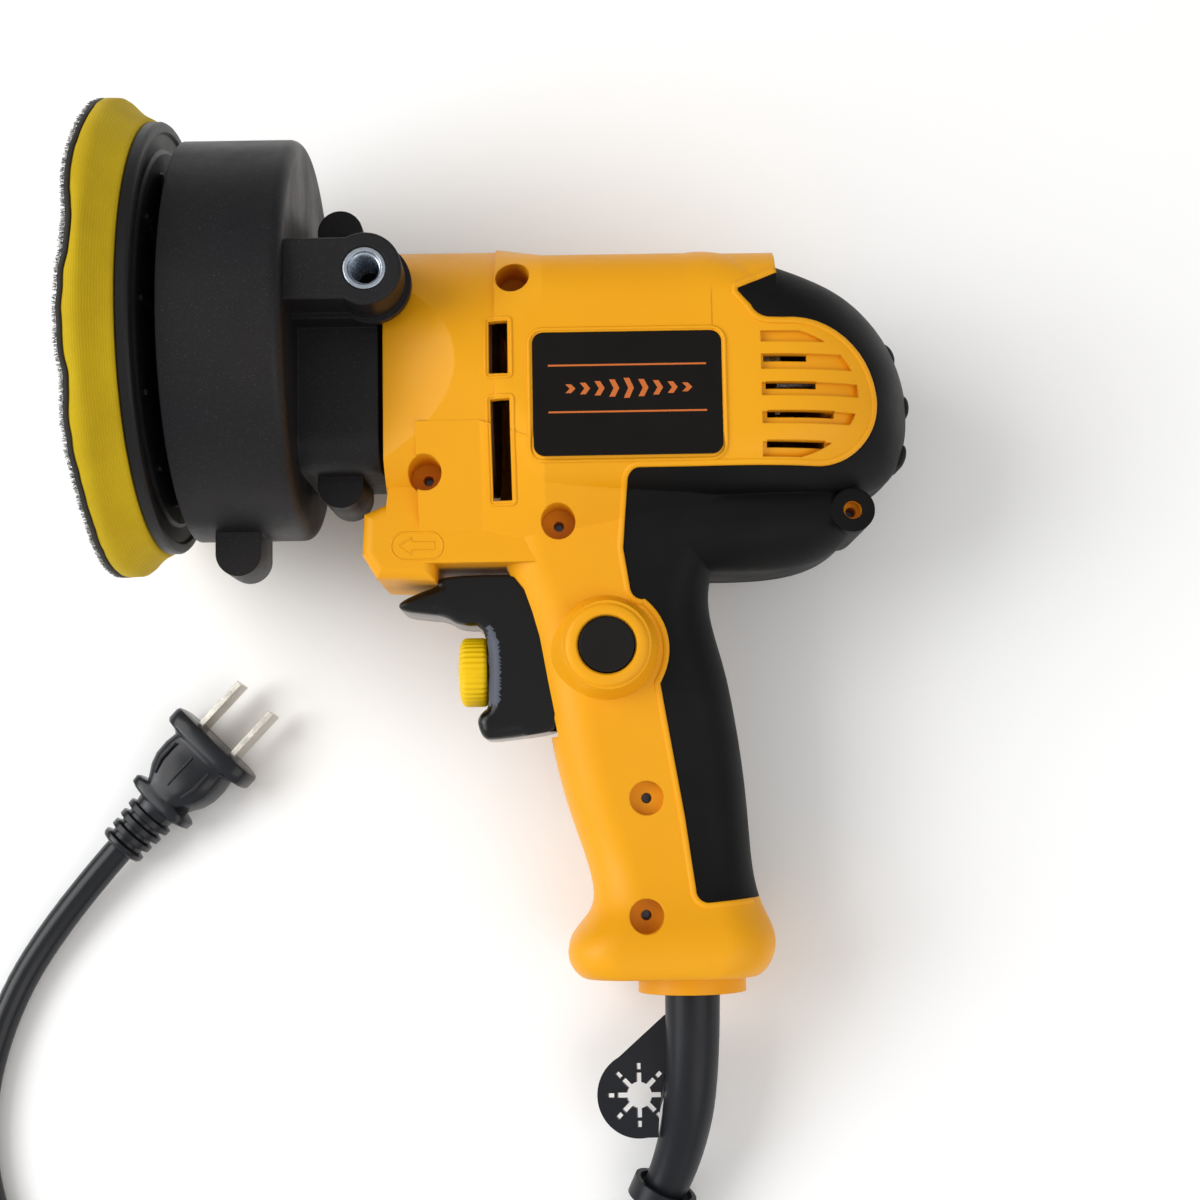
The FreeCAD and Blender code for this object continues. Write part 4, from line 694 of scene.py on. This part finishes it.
def make_hooks():
    """The hook face: a thin backing with thousands of small leaning hooks."""
    low, high = span("hook_disc")
    front, back = low.x, high.x
    rim = 62.4
    middle = pad_centre()
    base = front + 1.2
    disc = [(base, 0.5), (base, rim - 1.4), (base + 0.2, rim - 0.6), (base + 0.5, rim - 0.2),
            (back - 0.1, rim - 0.2), (back + 0.1, rim - 0.6), (back + 0.1, 0.5)]

    def worn(angle, station, radius):
        return station + (radius > 50) * max(-0.3, rim_shift(angle)) * 0.9, radius

    backing = turned(disc, middle, 360, worn)
    draw = random.Random(41)
    hooks = []
    spacing = 1.2
    count = int(math.pi * rim ** 2 / spacing ** 2)
    golden = math.pi * (3 - math.sqrt(5))
    spots = [(rim * 0.995 * math.sqrt((index + 0.5) / count), index * golden)
             for index in range(count)]
    rim_count = 1500
    spots += [(rim - draw.uniform(0.2, 0.6), math.tau * index / rim_count + draw.uniform(-0.01, 0.01))
              for index in range(rim_count)]
    for radius, angle in spots:
        push = max(-0.3, rim_shift(angle % math.tau)) * 0.9 * (radius > 58) * min(1, (radius - 58) / 3)
        at_rim = radius > rim - 0.8
        root = Vector((base + push + (draw.uniform(0, 0.5) if at_rim else 0.0),
                       middle[0] + radius * math.cos(angle), middle[1] + radius * math.sin(angle)))
        lean = Vector((0, draw.uniform(-0.5, 0.5), draw.uniform(-0.5, 0.5)))
        if at_rim:
            outward = Vector((0, math.cos(angle), math.sin(angle)))
            lean -= outward * (max(0.0, lean.dot(outward)) - draw.uniform(0.0, 0.1))
        tall = draw.uniform(0.6, 0.9)
        tip = root + Vector((-tall, 0, 0)) + lean
        width = draw.uniform(0.10, 0.16)
        ring = [root + Vector((0.1, width * math.cos(turn), width * math.sin(turn)))
                for turn in (0, 2.094, 4.189)]
        knob = [tip + Vector((0, 1.1 * width * math.cos(turn), 1.1 * width * math.sin(turn)))
                for turn in (0.5, 2.594, 4.689)]
        hooks.append(([*ring, *knob], [(0, 1, 4, 3), (1, 2, 5, 4), (2, 0, 3, 5), (2, 1, 0),
                                       (3, 4, 5)]))
    pile = add_piece("hook_face", *merge([backing, *hooks]), HOOKS, "pad")
    pile.data.materials.append(HOOK_BACKING)
    for polygon in pile.data.polygons[:len(backing[1])]:
        polygon.material_index = 1
    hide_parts("hook_disc")


def make_plate():
    """The black backing plate with its raised rim, dish and hub ribs."""
    low, high = span("pad_plate")
    front, back = low.x, high.x
    edge = -34.6
    rim = 56.2
    profile = [(front + 0.02, 4.2), (front + 0.02, rim - 0.8), (front + 0.5, rim), (edge - 0.9, rim),
               (edge - 0.3, rim - 0.4), (edge, rim - 1.2), (edge, rim - 2.6), (edge - 0.8, rim - 3.2),
               (edge - 0.9, rim - 7.0), (edge - 0.2, rim - 8.0), (edge - 0.2, 22.0), (edge + 1.6, 14.5),
               (back - 0.6, 13.0), (back, 12.4), (back, 4.2)]
    middle = pad_centre()
    parts = [turned(profile, middle, 192)]
    for step in range(12):
        angle = math.tau * step / 12
        c, s = math.cos(angle), math.sin(angle)
        corners = []
        for side in (-0.7, 0.7):
            for reach, top in ((13.5, edge + 3.0), (44.0, edge + 0.6)):
                for station in (edge - 0.5, top):
                    corners.append((station, middle[0] + reach * c - side * s,
                                    middle[1] + reach * s + side * c))
        parts.append((corners, [(0, 1, 3, 2), (4, 5, 7, 6), (0, 1, 5, 4), (2, 3, 7, 6),
                                (0, 2, 6, 4), (1, 3, 7, 5)]))
    plate = add_piece("backing_plate", *merge(parts), BLACK, "pad")
    sharpen(plate)
    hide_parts("pad_plate")


make_foam()
make_hooks()
make_plate()


# ---------------------------------------------------------------- surface helpers
def tree_of(*names):
    """A search tree over some nodes' faces."""
    vertices, faces = [], []
    for name in names:
        mesh = NODES[name].data
        start = len(vertices)
        vertices += [vertex.co for vertex in mesh.vertices]
        faces += [[index + start for index in polygon.vertices] for polygon in mesh.polygons]
    return BVHTree.FromPolygons(vertices, faces)


SIDES = {1: tree_of("housing_left", "rubber_grip_left"),
         -1: tree_of("housing_right", "rubber_grip_right")}


def on_side(x, y, side, above=0.0):
    """The point of the housing's side surface at X and Y, a little above it."""
    start = at(x, y, side * 70.0)
    hit = SIDES[side].ray_cast(start, -OUT * side)[0]
    if hit is None:
        return None
    spot = BACK @ hit
    return Vector((x, y, spot.z + side * above))


def lip(outline, radius=0.45, sink=0.1, closed=True, side=1, gap=1.0, squash=1.0):
    """A fine raised bead along an outline on the housing's side."""
    spots = [on_side(x, y, side, -sink) for x, y in spread(outline, gap, closed)]
    spots = [spot for spot in spots if spot is not None]
    return tube(spots, radius, 10, closed, squash, Vector((0, 0, side)))


# Each entry is the next corner, or the middle and the end of an arc
RUBBER_EDGE = (
    (120.6, 8.0), (110.2, 3.4), ((112.2, 1.0), (113.8, -0.8)), ((115.6, -3.0), (118.4, -3.9)),
    (122.0, -4.0), ((138.6, -9.6), (145.3, -22.1)), ((141.6, -35.0), (129.5, -40.5)),
    (85.6, -40.5), ((83.4, -41.4), (82.5, -43.6)), (81.3, -59.1), (82.9, -69.2),
    ((84.0, -71.2), (86.6, -71.9)), ((92.4, -82.5), (90.0, -93.0)), (95.6, -126.8),
    (97.9, -144.6), ((99.0, -147.2), (101.6, -147.9)), (112.5, -147.0))


def arc_points(start, middle, end, pieces=12):
    """Points along the arc through three points, after its start."""
    (ax, ay), (bx, by), (cx, cy) = start, middle, end
    scale = 2 * (ax * (by - cy) + bx * (cy - ay) + cx * (ay - by))
    squares = [x * x + y * y for x, y in (start, middle, end)]
    centre = Vector(((squares[0] * (by - cy) + squares[1] * (cy - ay) + squares[2] * (ay - by))
                     / scale, (squares[0] * (cx - bx) + squares[1] * (ax - cx)
                               + squares[2] * (bx - ax)) / scale))
    first, half, last = (math.atan2(y - centre.y, x - centre.x)
                         for x, y in (start, middle, end))
    half = (half - first + math.pi) % math.tau - math.pi
    rest = (last - first - half + math.pi) % math.tau - math.pi
    radius = (Vector(start) - centre).length
    points = []
    for step in range(1, pieces + 1):
        angle = first + (half + rest) * step / pieces
        points.append((centre.x + radius * math.cos(angle), centre.y + radius * math.sin(angle)))
    return points


def shifted(points, offset):
    """Points along a route, moved to its right."""
    moved = []
    for index, point in enumerate(points):
        before, after = points[max(0, index - 1)], points[min(len(points) - 1, index + 1)]
        way = (Vector(after) - Vector(before)).normalized()
        moved.append((point[0] + way.y * offset, point[1] - way.x * offset))
    return moved


def routed(route):
    """A route of corners and arcs as points."""
    points = [route[0]]
    for entry in route[1:]:
        if isinstance(entry[0], float):
            points.append(entry)
        else:
            points += arc_points(points[-1], *entry)
    return points


SLOT_OUTLINES = (((48.7, -17.1), (53.4, -3.8)), ((48.9, -47.1), (53.7, -23.3)))
# The right side's slots sit this much further forward
SLOT_STAGGER = 5.2
PILL = (29.3, -57.6)
ARROW = ((-4.8, 0.0), (-1.4, 2.2), (-1.4, 1.0), (4.4, 1.0), (4.4, -1.0), (-1.4, -1.0), (-1.4, -2.2))


def make_housing_trim():
    """Fine beads round the vents, the label and the rubber, on both sides."""
    for side, word in ((1, "left"), (-1, "right")):
        beads = []
        forward = 0.0 if side > 0 else SLOT_STAGGER
        for low, high in SLOT_OUTLINES:
            outline = rounded_box_outline((low[0] - forward - 0.9, low[1] - 0.9),
                                          (high[0] - forward + 0.9, high[1] + 0.9), 1.0)
            beads.append(lip(outline, 0.42, side=side))
        low, high = span("label_" + word)
        outline = rounded_box_outline((low.x - 0.9, low.y - 0.9), (high.x + 0.9, high.y + 0.9), 3.4)
        beads.append(lip(outline, 0.5, 0.05, side=side))
        pill = rounded_box_outline((PILL[0] - 6.5, PILL[1] - 3.5), (PILL[0] + 6.5, PILL[1] + 3.5),
                                   3.4)
        beads.append(lip(pill, 0.3, side=side, gap=0.8))
        arrow = [(PILL[0] + x, PILL[1] + y) for x, y in ARROW]
        beads.append(lip(arrow, 0.25, side=side, gap=0.8))
        trim = add_piece("housing_beads_" + word, *merge(beads), YELLOW)
        edge = lip(shifted(routed(RUBBER_EDGE), 0.8), 0.85, 0.0, False, side, 0.8, 0.5)
        rim = add_piece("rubber_edge_bead_" + word, *edge, YELLOW)


make_housing_trim()


# ---------------------------------------------------------------- label
def make_label_graphic():
    """Two orange rules with a plain polishing-pad sign between them."""
    for side, word in ((1, "left"), (-1, "right")):
        low, high = span("label_" + word)
        top = high.z if side > 0 else low.z
        heights = sorted((top - side * 0.05, top + side * 0.08))
        middle = (low.x + high.x) / 2
        parts = []
        for rise in (low.y * 0.27 + high.y * 0.73, low.y * 0.65 + high.y * 0.35):
            rule = [(low.x + 3.8, rise - 0.22), (high.x - 3.8, rise - 0.22),
                    (high.x - 3.8, rise + 0.22), (low.x + 3.8, rise + 0.22)]
            parts.append(slab(rule, *heights))
        rise = (low.y * 0.46 + high.y * 0.54)
        for index in range(-4, 5):
            reach = 1.1 + 0.35 * (4 - abs(index))
            chevron = [(middle + 3.6 * index - 0.9, rise - reach),
                       (middle + 3.6 * index + 0.5, rise - reach),
                       (middle + 3.6 * index + 1.6, rise), (middle + 3.6 * index + 0.5, rise + reach),
                       (middle + 3.6 * index - 0.9, rise + reach), (middle + 3.6 * index + 0.2, rise)]
            parts.append(slab(chevron, *heights))
        ink = add_piece("label_print_" + word, *merge(parts), ORANGE_INK, smooth=False)


make_label_graphic()


# ---------------------------------------------------------------- threaded inserts
def make_inserts():
    """Plated inserts with a real M8 thread inside."""
    bore, crest, outer, pitch, length = 3.4, 3.95, 5.4, 1.25, 18.0
    for side, word in ((1, "left"), (-1, "right")):
        low, high = span("handle_insert_" + word)
        centre = (low + high) / 2
        face = high.z if side > 0 else low.z
        segments, per_pitch = 64, 6
        rows = int(length / pitch * per_pitch)
        vertices = []
        for row in range(rows + 1):
            depth = row * length / rows
            for step in range(segments):
                angle = math.tau * step / segments
                phase = (depth / pitch - side * step / segments) % 1.0
                reach = bore + (crest - bore) * abs(2 * phase - 1)
                if depth < 0.7:
                    reach = max(reach, crest + 0.25 - depth * 0.5)
                vertices.append((centre.x + reach * math.cos(angle),
                                 centre.y + reach * math.sin(angle), face - side * depth))
        shell = [(length, outer), (0.35, outer), (0.0, outer - 0.35)]
        for depth, reach in shell:
            for step in range(segments):
                angle = math.tau * step / segments
                vertices.append((centre.x + reach * math.cos(angle),
                                 centre.y + reach * math.sin(angle), face - side * depth))
        faces = grid_faces(rows + 1 + len(shell), segments, closed_rows=True)
        insert = add_piece("threaded_insert_" + word, vertices, faces, ZINC)
        sharpen(insert, 25)
        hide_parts("handle_insert_" + word)


make_inserts()


# ---------------------------------------------------------------- speed dial
def make_dial():
    """The domed, finely ribbed speed dial."""
    centre = BACK @ Vector(JOINTS["dial_turn"]["pos_m"])
    low, high = span("speed_dial")
    front = low.x
    ribs, deep = 36, 0.35

    def ribbed(angle, station, radius):
        if radius < 6.0:
            return station, radius
        ridge = deep * (0.5 + 0.5 * math.cos(angle * ribs)) * min(1.0, (radius - 6.0) / 2.0)
        return station, radius - deep + ridge

    outline = [(front, 0.3), (front + 0.02, 2.5), (front + 0.1, 5.0), (front + 0.4, 7.2),
               (front + 0.8, 8.1), (front + 1.4, 8.8), (front + 2.2, 9.0), (front + 6.4, 9.0),
               (front + 7.1, 8.8), (front + 7.6, 8.2), (front + 7.6, 2.0), (high.x, 2.0),
               (high.x, 0.3)]
    vertices, faces = turned(outline, (centre.y, centre.z), 288, ribbed)
    dial = add_piece("ribbed_dial", vertices, faces, LEMON, "speed_dial")
    sharpen(dial, 45)
    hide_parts("speed_dial")


make_dial()


# ---------------------------------------------------------------- trigger
TRIGGER = ((65.0, -64.2), (34.4, -64.0), (33.6, -66.7), (29.0, -68.2), (24.6, -70.2),
           (23.3, -71.7), (24.9, -73.2), (30.5, -73.9), (35.5, -74.5), (38.9, -76.9),
           (46.5, -77.0), (46.7, -97.9), (44.6, -99.2), (43.4, -101.2), (43.9, -103.6),
           (44.8, -105.6), (46.6, -106.6), (60.5, -104.9), (65.0, -103.8))


def edge_radius(x, y):
    """How far the trigger's rim is rounded at a point of its outline."""
    if x > 56.0 or y > -66.0:
        return 0.5
    if x < 33.0:
        return 2.2
    return 3.3 if x > 46.0 and -98.4 < y < -76.8 else 2.9


def outline_distance(x, y, outline):
    """The distance to a closed outline and its nearest point."""
    nearest = (1e9, None)
    for first, second in zip(outline, outline[1:] + outline[:1]):
        span_x, span_y = second[0] - first[0], second[1] - first[1]
        along = ((x - first[0]) * span_x + (y - first[1]) * span_y) / (span_x ** 2 + span_y ** 2)
        along = min(1.0, max(0.0, along))
        spot = (first[0] + span_x * along, first[1] + span_y * along)
        nearest = min(nearest, (math.hypot(x - spot[0], y - spot[1]), spot))
    return nearest


def inside(x, y, outline):
    """Whether a point lies inside a closed outline."""
    crossed = False
    for (ax, ay), (bx, by) in zip(outline, outline[1:] + outline[:1]):
        if (ay > y) != (by > y) and x < (bx - ax) * (y - ay) / (by - ay) + ax:
            crossed = not crossed
    return crossed


def pillow(outline, half, radius_at, gap=1.4):
    """A slab with rounded rims: points (x, y, z) of its upper face, their triangles and rim."""
    rings = []
    for share in (0.04, 0.14, 0.3, 0.52, 0.78, 1.0):
        for index, point in enumerate(outline):
            before, after = Vector(outline[index - 1]), Vector(outline[(index + 1) % len(outline)])
            way = (after - before).normalized()
            depth = share * radius_at(*point)
            for normal in (Vector((-way.y, way.x)), Vector((way.y, -way.x))):
                x, y = Vector(point) + normal * depth
                if inside(x, y, outline) and outline_distance(x, y, outline)[0] > depth * 0.92:
                    rings.append((x, y))
    xs, ys = zip(*outline)
    column = min(xs)
    while column < max(xs):
        row = min(ys)
        while row < max(ys):
            if inside(column, row, outline):
                reach, spot = outline_distance(column, row, outline)
                if reach > radius_at(*spot) + 0.5:
                    rings.append((column, row))
            row += gap
        column += gap
    count = len(outline)
    edges = [(index, (index + 1) % count) for index in range(count)]
    flat = [Vector(point) for point in outline + rings]
    spots, _, triangles = delaunay_2d_cdt(flat, edges, [], 1, 1e-4)[:3]
    upper = []
    for x, y in spots:
        reach, spot = outline_distance(x, y, outline)
        radius = radius_at(*spot)
        short = max(0.0, radius - reach)
        upper.append((x, y, half - radius + math.sqrt(max(0.0, radius ** 2 - short ** 2))))
    return upper, triangles, count


def make_trigger():
    """The glossy trigger with its rounded front, finger hook and dial bay."""
    low, high = span("trigger")
    middle, half = (low.z + high.z) / 2, (high.z - low.z) / 2
    outline = spread(softened(TRIGGER, 2), 1.0)
    upper, triangles, rim = pillow(outline, half, edge_radius)
    size = len(upper)
    vertices = [(x, y, middle + z) for x, y, z in upper]
    vertices += [(x, y, middle - z) for x, y, z in upper]
    faces = [tuple(ring) for ring in triangles]
    faces += [tuple(index + size for index in ring) for ring in triangles]
    faces += [(index, (index + 1) % rim, (index + 1) % rim + size, index + size)
              for index in range(rim)]
    shell = add_piece("trigger_shell", vertices, faces, GLOSSY, "trigger")
    # The rounded faces beside the dial bay take the blue-grey painted reflection.
    shell.data.materials.append(BAY_REFLECTION)
    for polygon in shell.data.polygons:
        spot = BACK @ polygon.center
        polygon.material_index = int(46.3 < spot.x < 50.3 and -97.6 < spot.y < -77.6
                                     and 7.6 < abs(spot.z - middle) < half - 0.04)
    sharpen(shell, 50)
    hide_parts("trigger")


make_trigger()


# ---------------------------------------------------------------- lock button bezel
def make_lock_bezel():
    """A low rounded ring round the lock button."""
    low, high = span("lock_button")
    centre = (low + high) / 2
    top = high.z - 1.0
    ring = [(7.35, top - 0.4), (7.35, top + 0.5), (7.7, top + 0.85), (8.4, top + 0.9),
            (9.6, top + 0.75), (10.3, top + 0.35), (10.6, top - 0.4)]
    segments = 96
    vertices = []
    for radius, height in ring:
        for step in range(segments):
            angle = math.tau * step / segments
            vertices.append((centre.x + radius * math.cos(angle),
                             centre.y + radius * math.sin(angle), height))
    bezel = add_piece("lock_bezel", vertices, grid_faces(len(ring), segments, closed_rows=True),
                      YELLOW)
    sharpen(bezel, 40)


make_lock_bezel()


# ---------------------------------------------------------------- rear bumpers
REAR_BUMPS = (4.6, -7.2, -21.4, -34.4)


def make_rear_bumps():
    """Four rounded rubber bumpers across the back of the motor cover."""
    tree = tree_of("rubber_grip_left", "rubber_grip_right")
    parts = []
    for rise in REAR_BUMPS:
        spots = []
        for step in range(-7, 8):
            across = 1.4 * step + 0.05
            hit, normal = tree.ray_cast(at(190.0, rise, across), -ALONG)[:2]
            if hit is not None:
                spots.append((BACK @ hit, (TURN.inverted() @ normal).normalized()))
        if len(spots) < 3:
            continue
        points = [spot - out * 0.25 for spot, out in spots]
        widths = [3.3 * math.sqrt(max(0.02, 1 - (index / (len(spots) - 1) * 2 - 1) ** 6))
                  for index in range(len(spots))]
        parts.append(tube(points, widths, 20, squash=0.5, normal=spots[0][1]))
    bumps = add_piece("rear_bumpers", *merge(parts), RUBBER)


make_rear_bumps()


# ---------------------------------------------------------------- stage and light
def make_stage():
    """A pale floor, a soft overhead light and a window-like key from behind the drum."""
    bpy.ops.mesh.primitive_plane_add(size=6.0, location=(0, 0, -0.0002))
    floor = bpy.context.object
    floor.name = "floor"
    material, tree, shader = new_material("pale_floor", (0.95, 0.95, 0.95), 0.8)
    floor.data.materials.append(material)
    world = bpy.data.worlds.new("studio")
    world.use_nodes = True
    sky = world.node_tree
    way = node(sky, "ShaderNodeSeparateXYZ")
    sky.links.new(node(sky, "ShaderNodeTexCoord").outputs["Generated"], way.inputs["Vector"])
    sky.links.new(ranged(sky, way.outputs["Y"], -0.6, 0.9, 0.72, 0.38),
                  sky.nodes["Background"].inputs["Strength"])
    sky.nodes["Background"].inputs["Color"].default_value = (1.0, 1.0, 1.0, 1)
    bpy.context.scene.world = world
    middle = Vector((0.0, 0.0, 0.05))
    for name, place, width, power, tint in (
            ("top_light", (-0.95, 0.2, 0.95), 1.0, 11.0, (1.0, 0.99, 0.97)),
            ("left_light", (-1.2, -0.2, 0.8), 0.7, 5.0, (0.88, 0.94, 1.0)),
            ("fill_light", (0.9, -0.7, 1.1), 1.2, 6.0, (1.0, 0.97, 0.93))):
        data = bpy.data.lights.new(name, "AREA")
        data.size = width
        data.energy = power
        data.color = tint
        lamp = bpy.data.objects.new(name, data)
        bpy.context.scene.collection.objects.link(lamp)
        lamp.location = place
        lamp.rotation_euler = (middle - Vector(place)).to_track_quat("-Z", "Y").to_euler()
    bpy.context.scene.view_settings.view_transform = "Standard"


make_stage()
